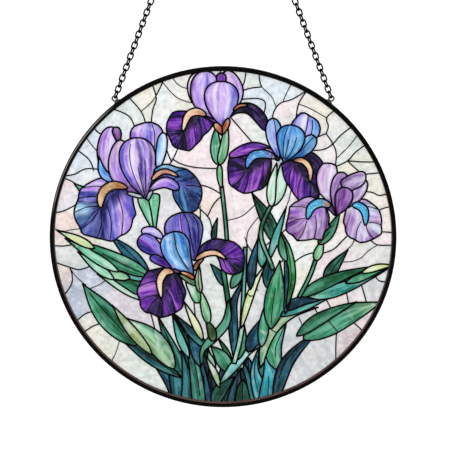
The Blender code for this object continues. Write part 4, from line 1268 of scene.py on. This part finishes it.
def make_streaks():
    """Painterly streaks, veins and wisps that run along the flow of one sheet of glass."""
    tree, given, out = new_group(
        "glass_streaks",
        (("Tint", "NodeSocketColor", (0.5, 0.5, 0.5, 1)), ("Flow", "NodeSocketVector", None),
         ("Place", "NodeSocketVector", None), ("Depth", "NodeSocketFloat", 1.0),
         ("Veins", "NodeSocketFloat", 0.5), ("Light", "NodeSocketFloat", 0.4)),
        (("Colour", "NodeSocketColor"), ("Height", "NodeSocketFloat")),
    )
    tint, flow, place = given["Tint"], given["Flow"], given["Place"]
    fine = tree.noise(flow, 1.0, 3, (0.35, 3.6, 1), 0.35)
    broad = tree.noise(flow, 1.0, 2, (0.3, 1.2, 1), 0.5)
    cloud = tree.noise(place, 75.0, 2)
    swing = tree.maths("ADD", tree.swing(broad, 3.2), tree.swing(fine, 2.6))
    swing = tree.maths("ADD", swing, tree.swing(cloud, 1.4))
    power = tree.maths("ADD", 1.0, tree.maths("MULTIPLY", swing, given["Depth"]))
    power = tree.maths("MINIMUM", tree.maths("MAXIMUM", power, 0.7), 1.6)
    streaked = tree.node("ShaderNodeGamma")
    tree.join(tint, streaked.inputs["Color"])
    tree.join(power, streaked.inputs["Gamma"])
    thread = tree.noise(flow, 1.0, 1, (0.16, 2.3, 1), 0.5)
    ridge = tree.maths("ABSOLUTE", tree.maths("SUBTRACT", thread, 0.5), 0.0)
    vein = tree.maths("MULTIPLY", tree.spread(ridge, 0.03, 0.004), given["Veins"])
    inked = tree.mix(streaked.outputs[0], tree.mix(tint, tint, 1.0, "MULTIPLY"), vein)
    glow = tree.maths("MULTIPLY", tree.spread(fine, 0.44, 0.3), tree.spread(cloud, 0.45, 0.62))
    glow = tree.maths("MULTIPLY", glow, given["Light"])
    bright = tree.node("ShaderNodeGamma", Gamma=0.65)
    tree.join(tint, bright.inputs["Color"])
    lit = tree.mix(bright.outputs[0], (0.96, 0.95, 1.0), 0.12)
    tree.join(tree.mix(inked, lit, glow), out["Colour"])
    tree.join(fine, out["Height"])


def make_hammered():
    """The rolled face of sheet glass: soft dimples with a finer ripple on them."""
    tree, given, out = new_group(
        "hammered_face",
        (("Place", "NodeSocketVector", None), ("Size", "NodeSocketFloat", 240.0)),
        (("Height", "NodeSocketFloat"), ("Glint", "NodeSocketFloat")),
    )
    made = []
    for times, detail in ((1.0, 1.0), (2.7, 2.0)):
        face = tree.node("ShaderNodeTexNoise", noise_dimensions="3D")
        face.inputs["Detail"].default_value = detail
        tree.join(given["Place"], face.inputs["Vector"])
        tree.join(tree.maths("MULTIPLY", given["Size"], times), face.inputs["Scale"])
        made.append(face.outputs[0])
    both = tree.maths("ADD", tree.maths("MULTIPLY", made[0], 0.7), tree.maths("MULTIPLY", made[1], 0.3))
    tree.join(both, out["Height"])
    tree.join(tree.spread(both, 0.52, 0.66), out["Glint"])


def make_worn_metal():
    """Patina that is mottled, with a rubbed colour where the wear mask says."""
    tree, given, out = new_group(
        "worn_metal",
        (("Base", "NodeSocketColor", (0.02, 0.02, 0.02, 1)),
         ("Rubbed", "NodeSocketColor", (0.1, 0.1, 0.1, 1)), ("Place", "NodeSocketVector", None),
         ("Wear", "NodeSocketFloat", 0.0), ("Grain", "NodeSocketFloat", 300.0)),
        (("Colour", "NodeSocketColor"), ("Roughness", "NodeSocketFloat"),
         ("Height", "NodeSocketFloat")),
    )
    grain = tree.node("ShaderNodeTexNoise", noise_dimensions="3D", Detail=4.0)
    tree.join(given["Place"], grain.inputs["Vector"])
    tree.join(given["Grain"], grain.inputs["Scale"])
    patch = tree.noise(given["Place"], 60.0, 2)
    mottle = tree.spread(grain.outputs[0], 0.35, 0.7)
    base = tree.mix(given["Base"], given["Rubbed"], tree.maths("MULTIPLY", mottle, 0.015))
    rubbed = tree.maths("MULTIPLY", given["Wear"], tree.spread(patch, 0.25, 0.6, 0.55, 1.0))
    tree.join(tree.mix(base, given["Rubbed"], rubbed), out["Colour"])
    rough = tree.maths("SUBTRACT", 0.52, tree.maths("MULTIPLY", rubbed, 0.14))
    tree.join(tree.maths("ADD", rough, tree.maths("MULTIPLY", mottle, 0.1)), out["Roughness"])
    tree.join(grain.outputs[0], out["Height"])


def new_material(name, **plain):
    """A material's tree, its shader and its place socket, with plain values on the shader."""
    material = bpy.data.materials.new(name)
    material.use_nodes = True
    tree = Tree(material.node_tree)
    shader = material.node_tree.nodes["Principled BSDF"]
    for label, value in plain.items():
        shader.inputs[label.replace("_", " ")].default_value = value
    place = tree.node("ShaderNodeTexCoord").outputs["Object"]
    return tree, shader, place


def use_group(tree, name, **links):
    made = tree.node("ShaderNodeGroup")
    made.node_tree = bpy.data.node_groups[name]
    for label, value in links.items():
        tree.feed(value, made.inputs[label.replace("_", " ")])
    return made.outputs


def add_bump(tree, shader, height, strength, distance):
    bump = tree.node("ShaderNodeBump", Strength=strength, Distance=distance)
    tree.join(height, bump.inputs["Height"])
    tree.join(bump.outputs[0], shader.inputs["Normal"])


def add_streaks(tree, place, depth, veins, light):
    """The piece's own tint, and the streaks that run along its flow."""
    tint = tree.node("ShaderNodeAttribute", attribute_name="tint").outputs["Color"]
    flow = tree.node("ShaderNodeUVMap", uv_map="flow").outputs[0]
    return tint, use_group(tree, "glass_streaks", Tint=tint, Flow=flow, Place=place, Depth=depth,
                           Veins=veins, Light=light)


def make_glass(name, depth, veins, light, size, strength, transmission, roughness):
    """Streaky opalescent glass that takes its tint and flow from the piece."""
    tree, shader, place = new_material(
        name, Transmission_Weight=transmission, Roughness=roughness, IOR=1.5, Specular_IOR_Level=0.05
    )
    tint, streaks = add_streaks(tree, place, depth, veins, light)
    face = use_group(tree, "hammered_face", Place=place, Size=size)
    lit = tree.mix(streaks["Colour"], (1.0, 1.0, 1.0), tree.maths("MULTIPLY", face["Glint"], 0.03))
    grey = tree.node("ShaderNodeRGBToBW")
    tree.join(tint, grey.inputs["Color"])
    milky = tree.spread(tree.noise(place, 110.0, 4, (1, 1, 0.7), 0.6), 0.5, 0.68, 0, 0.4)
    clouds = tree.maths("MULTIPLY", milky, tree.spread(grey.outputs[0], 0.1, 0.45))
    tree.join(tree.mix(lit, (0.96, 0.95, 1.0), clouds), shader.inputs["Base Color"])
    height = tree.maths("ADD", face["Height"], tree.maths("MULTIPLY", streaks["Height"], 0.3))
    add_bump(tree, shader, height, strength, 0.001)


def make_grainy():
    """Glass full of bright and dark grains."""
    tree, shader, place = new_material(
        "beard_glass", Transmission_Weight=0.15, Roughness=0.3, IOR=1.5, Specular_IOR_Level=0.05
    )
    _, streaks = add_streaks(tree, place, 0.6, 0.0, 0.3)
    grains = tree.noise(place, 900.0, 2)
    bright = tree.mix(streaks["Colour"], (1.0, 0.95, 0.85), tree.spread(grains, 0.55, 0.7, 0, 0.5))
    dull = tree.mix(bright, (0.1, 0.05, 0.04), tree.spread(grains, 0.42, 0.3, 0, 0.45))
    tree.join(dull, shader.inputs["Base Color"])
    add_bump(tree, shader, grains, 0.5, 0.0006)


def make_opal():
    """Pearly ground glass with a faint play of colours, painted shade in the dimples of its hammered
    face and a painted highlight on their crests.
    """
    tree, shader, place = new_material("opal_glass", Transmission_Weight=0.35, Roughness=0.12, IOR=1.5)
    _, streaks = add_streaks(tree, place, 0.5, 0.0, 0.3)
    face = use_group(tree, "hammered_face", Place=place, Size=260.0)
    warm = tree.spread(tree.noise(place, 55.0, 3), 0.5, 0.68, 0, 0.12)
    cool = tree.spread(tree.noise(place, 48.0, 3, (1, 1, 1.3)), 0.5, 0.3, 0, 0.16)
    pearl = tree.mix(streaks["Colour"], (1.0, 0.86, 0.84), warm)
    pearl = tree.mix(pearl, (0.7, 0.82, 0.92), cool)
    # Painted shade in the dimples of the hammered face, then a painted highlight on its crests.
    pearl = tree.mix(pearl, (0.45, 0.47, 0.5), tree.spread(face["Height"], 0.5, 0.34, 0, 0.42))
    pearl = tree.mix(pearl, (1.0, 1.0, 1.0), tree.spread(face["Height"], 0.52, 0.64, 0, 0.35))
    tree.join(pearl, shader.inputs["Base Color"])
    add_bump(tree, shader, face["Height"], 0.35, 0.001)


def tuple_of(context, name):
    return tuple(getattr(context.scene.suncatcher_colours, name))


def make_metal(context, name, base, rubbed, metallic, wear=0.0, grain=300.0):
    """Worn metal or cement, as (tree, place, the socket of its wear)."""
    tree, shader, place = new_material(name, Metallic=metallic, Specular_IOR_Level=0.02)
    metal = use_group(tree, "worn_metal", Base=tuple_of(context, base),
                      Rubbed=tuple_of(context, rubbed), Place=place, Wear=wear, Grain=grain)
    tree.join(metal["Colour"], shader.inputs["Base Color"])
    tree.join(metal["Roughness"], shader.inputs["Roughness"])
    add_bump(tree, shader, metal["Height"], 0.25, 0.0004)
    return tree, place, metal["Colour"].node.inputs["Wear"]


# Name, ground colour, rubbed colour, metallic, wear and scale of the grain.
METALS = (
    ("lead_metal", "lead_black", "lead_rubbed", 0.0, 0.0, 500.0),
    ("steel_metal", "steel_black", "lead_rubbed", 0.0, 0.12, 600.0),
    ("solder_metal", "steel_black", "solder_grey", 0.2, 0.2, 700.0),
    # The cement's brown, over most of it, is a painted highlight of the rim's lit lower lip.
    ("cement", "cement_dark", "lip_highlight_brown", 0.0, 0.85, 260.0),
)


def make_came_metal(context):
    """Blackened rim, with a painted grey highlight along its crown at the upper left."""
    tree, place, wear = make_metal(context, "came_metal", "came_black", "came_highlight_grey", 0.0)
    sizes = context.scene.suncatcher_sizes
    moved = tree.node("ShaderNodeMapping", vector_type="POINT")
    moved.inputs["Location"].default_value = -PANEL_CENTRE
    tree.join(place, moved.inputs["Vector"])
    parts = tree.node("ShaderNodeSeparateXYZ")
    tree.join(moved.outputs[0], parts.inputs[0])
    across = tree.maths("POWER", parts.outputs["X"], 2.0)
    up = tree.maths("POWER", parts.outputs["Z"], 2.0)
    out = tree.maths("POWER", tree.maths("ADD", across, up), 0.5)
    # Mask of the painted highlight: a thin line round the crown, kept to an arc at the upper left, fed
    # in where the metal's wear would go.
    middle = PANEL_RADIUS - sizes.came_crown * 1.4
    near = tree.maths("ABSOLUTE", tree.maths("SUBTRACT", out, middle), 0.0)
    line = tree.spread(near, 0.0006, 0.0002)
    raised = tree.maths("MULTIPLY", parts.outputs["Z"], 0.5)
    corner = tree.maths("SUBTRACT", raised, tree.maths("MULTIPLY", parts.outputs["X"], 0.87))
    worn = tree.maths("MULTIPLY", line, tree.spread(corner, 0.14, 0.148, 0, 0.9))
    tree.join(worn, wear)


# Shaping with Blender's own tools.


def deselect():
    if bpy.context.object and bpy.context.object.mode != "OBJECT":
        bpy.ops.object.mode_set(mode="OBJECT")
    bpy.ops.object.select_all(action="DESELECT")


def apply_place(item):
    """Puts the object's place, turn and scale in its mesh, and leaves it selected and active."""
    deselect()
    item.select_set(True)
    bpy.context.view_layer.objects.active = item
    bpy.ops.object.transform_apply(location=True, rotation=True, scale=True)


def finish_piece(piece, name, material, nodes):
    """Names the piece, turns its faces outwards, and puts its place in its mesh."""
    piece.name = piece.data.name = name
    apply_place(piece)
    bpy.ops.object.mode_set(mode="EDIT")
    bpy.ops.mesh.select_all(action="SELECT")
    bpy.ops.mesh.remove_doubles(threshold=MERGE_DISTANCE)
    bpy.ops.mesh.normals_make_consistent(inside=False)
    bpy.ops.object.mode_set(mode="OBJECT")
    bpy.ops.object.shade_smooth_by_angle(angle=SHARP_ANGLE)
    piece.data.materials.clear()
    piece.data.materials.append(bpy.data.materials[material])
    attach(piece, "root")
    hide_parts(*nodes)
    deselect()


def joined(objects):
    deselect()
    for item in objects:
        item.select_set(True)
    bpy.context.view_layer.objects.active = objects[0]
    bpy.ops.object.join()
    return bpy.context.object


def spun_ring(section, centre, steps):
    """A closed section, given as (distance out, depth), spun about an axis along Y."""
    deselect()
    bpy.ops.mesh.primitive_circle_add(vertices=len(section), radius=MM, location=(0, 0, 0))
    ring = bpy.context.object
    for vertex, (out, depth) in zip(ring.data.vertices, section):
        vertex.co = (centre.x + out, centre.y + depth, centre.z)
    bpy.ops.object.mode_set(mode="EDIT")
    bpy.ops.mesh.select_all(action="SELECT")
    bpy.ops.mesh.spin(steps=steps, angle=2 * math.pi, center=centre, axis=(0, 1, 0))
    bpy.ops.mesh.select_all(action="SELECT")
    bpy.ops.mesh.remove_doubles(threshold=MERGE_DISTANCE)
    bpy.ops.object.mode_set(mode="OBJECT")
    return ring


def loop_height(sizes):
    """From the panel's centre to the middle of a loop."""
    return PANEL_RADIUS + sizes.pad_rise - sizes.pad_bite + sizes.loop_wire / 2 + sizes.loop_radius


def wire_torus(radius, wire, around, across):
    """A ring of round wire that stands in the XZ plane about the origin."""
    deselect()
    bpy.ops.mesh.primitive_torus_add(
        major_radius=radius, minor_radius=wire / 2, major_segments=around, minor_segments=across,
        rotation=(math.pi / 2, 0, 0),
    )
    apply_place(bpy.context.object)
    return bpy.context.object


# Operators.


class SUNCATCHER_OT_materials(bpy.types.Operator):
    """Makes the glass and the metals"""

    bl_idname = "suncatcher.materials"
    bl_label = "Glass and Metals"

    def execute(self, context):
        make_streaks()
        make_hammered()
        make_worn_metal()
        make_glass("petal_glass", 1.0, 0.6, 0.4, 230.0, 0.25, 0.2, 0.2)
        make_glass("leaf_glass", 0.8, 0.35, 0.15, 230.0, 0.25, 0.2, 0.2)
        make_grainy()
        make_opal()
        for metal in METALS:
            make_metal(context, *metal)
        make_came_metal(context)
        return {"FINISHED"}


class SUNCATCHER_OT_glass(bpy.types.Operator):
    """Cuts the petals, leaves and stems of the irises from streaky glass"""

    bl_idname = "suncatcher.glass"
    bl_label = "Iris and Leaf Glass"

    LEAVES = {
        "left_leaves_glass": ("left_top_leaf", "left_middle_leaf", "low_left_dark_leaf"),
        "centre_leaves_glass": ("centre_leaf", "centre_inner_leaf"),
        "right_leaves_glass": ("right_upper_leaf", "right_middle_leaf", "right_dark_leaf"),
        "low_leaves_glass": (
            "fan_left_leaf", "fan_inner_leaf", "fan_middle_leaf", "fan_tall_leaf", "fan_right_leaf",
        ),
    }
    SLOTS = {
        "iris_low_glass": "violet", "iris_left_glass": "lavender", "iris_right_glass": "sky_blue",
        "iris_far_glass": "lilac", "iris_top_glass": "deep_violet",
        "left_leaves_glass": "dark_green", "centre_leaves_glass": "leaf_green",
        "right_leaves_glass": "leaf_green", "low_leaves_glass": "teal",
    }

    def execute(self, context):
        art = picture(context)
        for name in PICTURE:
            leafy = name in self.LEAVES

            def wanted(label, name=name):
                return label < art.ground and art.shapes[label].piece == name

            main_glass = "leaf_glass" if leafy else "petal_glass"
            piece = glass_piece(context, name, wanted, (main_glass, "beard_glass"))
            flower = name.removesuffix("glass")
            nodes = self.LEAVES.get(name) or [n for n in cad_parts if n.startswith(flower)]
            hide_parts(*nodes)
        return {"FINISHED"}


class SUNCATCHER_OT_ground(bpy.types.Operator):
    """Cuts the pale ground from pearly opal glass"""

    bl_idname = "suncatcher.ground"
    bl_label = "Ground Glass"

    def execute(self, context):
        art = picture(context)
        piece = glass_piece(context, "ground_glass", lambda label: label == art.ground, ("opal_glass",))
        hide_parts(*(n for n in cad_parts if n.startswith("ground_")))
        return {"FINISHED"}


class SUNCATCHER_OT_lead(bpy.types.Operator):
    """Runs solder beads along every border and fold, with a joint where they meet"""

    bl_idname = "suncatcher.lead"
    bl_label = "Solder Lines"

    def execute(self, context):
        art, sizes = picture(context), context.scene.suncatcher_sizes
        widths = {"lead": sizes.lead_width, "ground": sizes.ground_width, "fold": sizes.fold_width}
        depth = sizes.lead_depth
        paths, joints, links = traced(art.borders, art.places)
        verts, faces = [], []
        for kind, path in paths:
            route = eased(spaced([art.places[n] for n in path], BEAD_SPACING))
            share = 0.94 if kind == "fold" else 1.0
            add_bead(verts, faces, route, widths[kind] / MM, depth * share)
        for joint in sorted(joints):
            kinds = [kind for _, kind in links[joint]]
            widest = max(widths[kind] for kind in kinds) / MM
            share = 0.97 if len(kinds) > 1 else 0.9
            add_joint(verts, faces, art.places[joint], widest * JOINT_SHARE, depth * share)
        piece = new_piece("solder_lines", verts, faces, ("lead_metal",))
        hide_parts("lead_network")
        return {"FINISHED"}


class SUNCATCHER_OT_came(bpy.types.Operator):
    """Spins the U-shaped rim, crowned outside and sloped inwards at its lip"""

    bl_idname = "suncatcher.came"
    bl_label = "Came"

    def execute(self, context):
        sizes = context.scene.suncatcher_sizes
        half = (CAME_HIGH.y - CAME_LOW.y) / 2
        outer, sight = PANEL_RADIUS, PANEL_RADIUS - sizes.came_face
        crown, bevel = sizes.came_crown, sizes.came_bevel
        slot = sizes.lead_depth / 2 + LIP
        front = [
            (outer, half - crown * 1.5), (outer - crown * 0.3, half - crown * 0.55),
            (outer - crown, half - crown * 0.12), (outer - crown * 1.5, half),
            (sight + bevel, half), (sight + bevel * 0.9, half - LIP),
            (sight + LIP, slot + 2 * LIP), (sight, slot), (sight + 0.0024, slot),
        ]
        back = [(out, -deep) for out, deep in reversed(front)]
        ring = spun_ring(front + back, PANEL_CENTRE, RING_STEPS)
        finish_piece(ring, "came_rim", "came_metal", ("came",))
        return {"FINISHED"}


class SUNCATCHER_OT_cement(bpy.types.Operator):
    """Lays the cement fillet between rim and glass, which thins out to nothing at the top; the fillet is
    real, but its brown band, widest at the bottom, is a painted highlight of the rim's lit lower lip
    """

    bl_idname = "suncatcher.cement"
    bl_label = "Cement"

    def execute(self, context):
        sizes = context.scene.suncatcher_sizes
        sight = PANEL_RADIUS - sizes.came_face
        glass = sizes.glass_depth / 2
        section = [(sight + 0.0006, glass), (sight + 0.0006, glass + 0.0013),
                   (sight + 0.0003, glass + 0.0015), (sight - 0.0004, glass + 0.0009),
                   (sight - 0.0008, glass)]
        fillets = []
        for way in (-1, 1):
            turned = [(out, way * deep) for out, deep in section]
            fillet = spun_ring(turned, PANEL_CENTRE, RING_STEPS)
            for vertex in fillet.data.vertices:
                place = vertex.co - PANEL_CENTRE
                out = math.hypot(place.x, place.z)
                # The fillet widens towards the bottom, so its brown shows as a painted highlight along
                # the lit lower lip, and thins to nothing at the top.
                low = (1 - place.z / out) / 2
                share = max(sight + 0.0003 - out, 0) / 0.0011
                pull = share * (sizes.cement_width * low**1.3 - 0.0009)
                vertex.co.x -= place.x / out * pull
                vertex.co.z -= place.z / out * pull
            fillets.append(fillet)
        finish_piece(joined(fillets), "cement_fillets", "cement", ("came",))
        return {"FINISHED"}


class SUNCATCHER_OT_loops(bpy.types.Operator):
    """Stands a wire loop on a solder pad at each side of the rim"""

    bl_idname = "suncatcher.loops"
    bl_label = "Loops"

    def execute(self, context):
        sizes = context.scene.suncatcher_sizes
        for way, word in ((-1, "left"), (1, "right")):
            loop = wire_torus(sizes.loop_radius, sizes.loop_wire, 28, 10)
            loop.location = (0, 0, loop_height(sizes))
            deselect()
            bpy.ops.mesh.primitive_uv_sphere_add(
                segments=20, ring_count=10, radius=1, location=(0, 0, PANEL_RADIUS + LIP),
                scale=(*PAD_HALF, sizes.pad_rise),
            )
            pad = bpy.context.object
            for item in (loop, pad):
                apply_place(item)
            both = joined([loop, pad])
            both.data.transform(
                Matrix.Translation(PANEL_CENTRE) @ Matrix.Rotation(way * sizes.loop_angle, 4, "Y")
            )
            finish_piece(both, f"{word}_loop_and_pad", "solder_metal", (f"{word}_loop",))
        return {"FINISHED"}


class SUNCATCHER_OT_chains(bpy.types.Operator):
    """Hangs the ring from two chains of oval links, each turned a quarter against the next"""

    bl_idname = "suncatcher.chains"
    bl_label = "Chains"

    def execute(self, context):
        sizes = context.scene.suncatcher_sizes
        wire = sizes.link_wire
        hole = sizes.link_length - 2 * wire
        pitch = hole + sizes.link_bite
        reach = sizes.loop_radius - sizes.loop_wire / 2 - sizes.hanger_gap + hole / 2
        high = loop_height(sizes)
        stretch = (sizes.link_length - sizes.link_width) / 2
        for way, word in ((-1, "left"), (1, "right")):
            link = wire_torus((sizes.link_width - wire) / 2, wire, 16, 8)
            for vertex in link.data.vertices:
                vertex.co.z += math.copysign(stretch, vertex.co.z)
            turn = way * sizes.loop_angle
            foot = PANEL_CENTRE + Vector((math.sin(turn), 0, math.cos(turn))) * high
            heading = (RING_CENTRE - foot).normalized()
            lean = Matrix.Rotation(math.atan2(heading.x, heading.z), 4, "Y")
            copies = []
            for number in range(sizes.links):
                copy = bpy.data.objects.new(f"{word}_link", link.data.copy())
                bpy.context.scene.collection.objects.link(copy)
                quarter = Matrix.Rotation(math.pi / 2 * (1 - number % 2) + sizes.link_turn, 4, "Z")
                place = Matrix.Translation(foot + heading * (reach + number * pitch))
                copy.data.transform(place @ lean @ quarter)
                copies.append(copy)
            bpy.data.objects.remove(link)
            finish_piece(joined(copies), f"{word}_chain_links", "steel_metal",
                         (f"{word}_chain",))
        return {"FINISHED"}


class SUNCATCHER_OT_ring(bpy.types.Operator):
    """Bends the ring that the suncatcher hangs from"""

    bl_idname = "suncatcher.ring"
    bl_label = "Hanging Ring"

    def execute(self, context):
        sizes = context.scene.suncatcher_sizes
        ring = wire_torus(sizes.ring_radius, sizes.ring_wire, 48, 14)
        ring.location = RING_CENTRE
        finish_piece(ring, "top_ring", "steel_metal", ("hanging_ring",))
        return {"FINISHED"}


class SUNCATCHER_OT_stage(bpy.types.Operator):
    """Lays the floor and sets the light and the camera"""

    bl_idname = "suncatcher.stage"
    bl_label = "Studio"

    def execute(self, context):
        scene = context.scene
        deselect()
        bpy.ops.mesh.primitive_plane_add(
            size=24, location=(0, 0, PANEL_CENTRE.z - PANEL_RADIUS - 0.7)
        )
        floor = bpy.context.object
        floor.name = floor.data.name = "floor"
        tree, shader, place = new_material("floor_paint", Roughness=0.9, Emission_Strength=0.25)
        pale = tuple_of(context, "floor_white")
        grain = tree.noise(place, 30.0, 2)
        tree.join(tree.mix(pale, tuple(c * 0.98 for c in pale), grain), shader.inputs["Base Color"])
        floor.data.materials.append(bpy.data.materials["floor_paint"])
        world = bpy.data.worlds.new("studio")
        world.use_nodes = True
        light = world.node_tree.nodes["Background"]
        light.inputs["Color"].default_value = (1, 1, 1, 1)
        light.inputs["Strength"].default_value = 1.0
        scene.world = world
        scene.view_settings.view_transform = "Standard"
        lamps = (
            ("key", (-0.9, -1.1, 0.9), 0.6, 2.2),
            ("fill", (1.1, -1.3, 0.1), 0.8, 0.8),
            ("top", (0.1, -0.5, 1.0), 0.6, 1.8),
            ("back", (0.2, 1.4, 0.2), 1.0, 2.0),
        )
        for name, place, size, power in lamps:
            lamp = bpy.data.lights.new(name, "AREA")
            lamp.size, lamp.energy = size, power
            made = bpy.data.objects.new(name, lamp)
            made.location = PANEL_CENTRE + Vector(place)
            made.rotation_euler = (-Vector(place)).to_track_quat("-Z", "Y").to_euler()
            scene.collection.objects.link(made)
        self.aim_camera(scene)
        return {"FINISHED"}

    def aim_camera(self, scene):
        """Frames a width of the view, in metres, from a little above."""
        width, lens, sensor, rise = 0.3955, 200.0, 36.0, math.radians(10.5)
        camera = bpy.data.cameras.new("camera")
        camera.lens, camera.sensor_width = lens, sensor
        made = bpy.data.objects.new("camera", camera)
        target = PANEL_CENTRE + Vector((0.0017, 0, 0.0122))
        back = Vector((0, -math.cos(rise), math.sin(rise)))
        made.location = target + back * (width * lens / sensor)
        made.rotation_euler = (-back).to_track_quat("-Z", "Y").to_euler()
        scene.collection.objects.link(made)
        scene.camera = made


class SUNCATCHER_PT_panel(bpy.types.Panel):
    """The suncatcher's steps, sizes and colours"""

    bl_idname = "SUNCATCHER_PT_panel"
    bl_label = "Stained Glass Suncatcher"
    bl_space_type = "VIEW_3D"
    bl_region_type = "UI"
    bl_category = "Suncatcher"

    def draw(self, context):
        layout = self.layout
        for step in STEPS:
            layout.operator(step.bl_idname)
        for group in (context.scene.suncatcher_sizes, context.scene.suncatcher_colours):
            box = layout.box()
            for name in group.__annotations__:
                box.prop(group, name)


STEPS = (
    SUNCATCHER_OT_materials,
    SUNCATCHER_OT_glass,
    SUNCATCHER_OT_ground,
    SUNCATCHER_OT_lead,
    SUNCATCHER_OT_came,
    SUNCATCHER_OT_cement,
    SUNCATCHER_OT_loops,
    SUNCATCHER_OT_chains,
    SUNCATCHER_OT_ring,
    SUNCATCHER_OT_stage,
)
CLASSES = (SUNCATCHER_PG_sizes, SUNCATCHER_PG_colours, *STEPS, SUNCATCHER_PT_panel)


def register():
    for one in CLASSES:
        bpy.utils.register_class(one)
    bpy.types.Scene.suncatcher_sizes = PointerProperty(type=SUNCATCHER_PG_sizes)
    bpy.types.Scene.suncatcher_colours = PointerProperty(type=SUNCATCHER_PG_colours)


def unregister():
    del bpy.types.Scene.suncatcher_colours
    del bpy.types.Scene.suncatcher_sizes
    for one in reversed(CLASSES):
        bpy.utils.unregister_class(one)


def main():
    register()
    for step in STEPS:
        group, name = step.bl_idname.split(".")
        getattr(getattr(bpy.ops, group), name)()


if __name__ == "__main__":
    main()
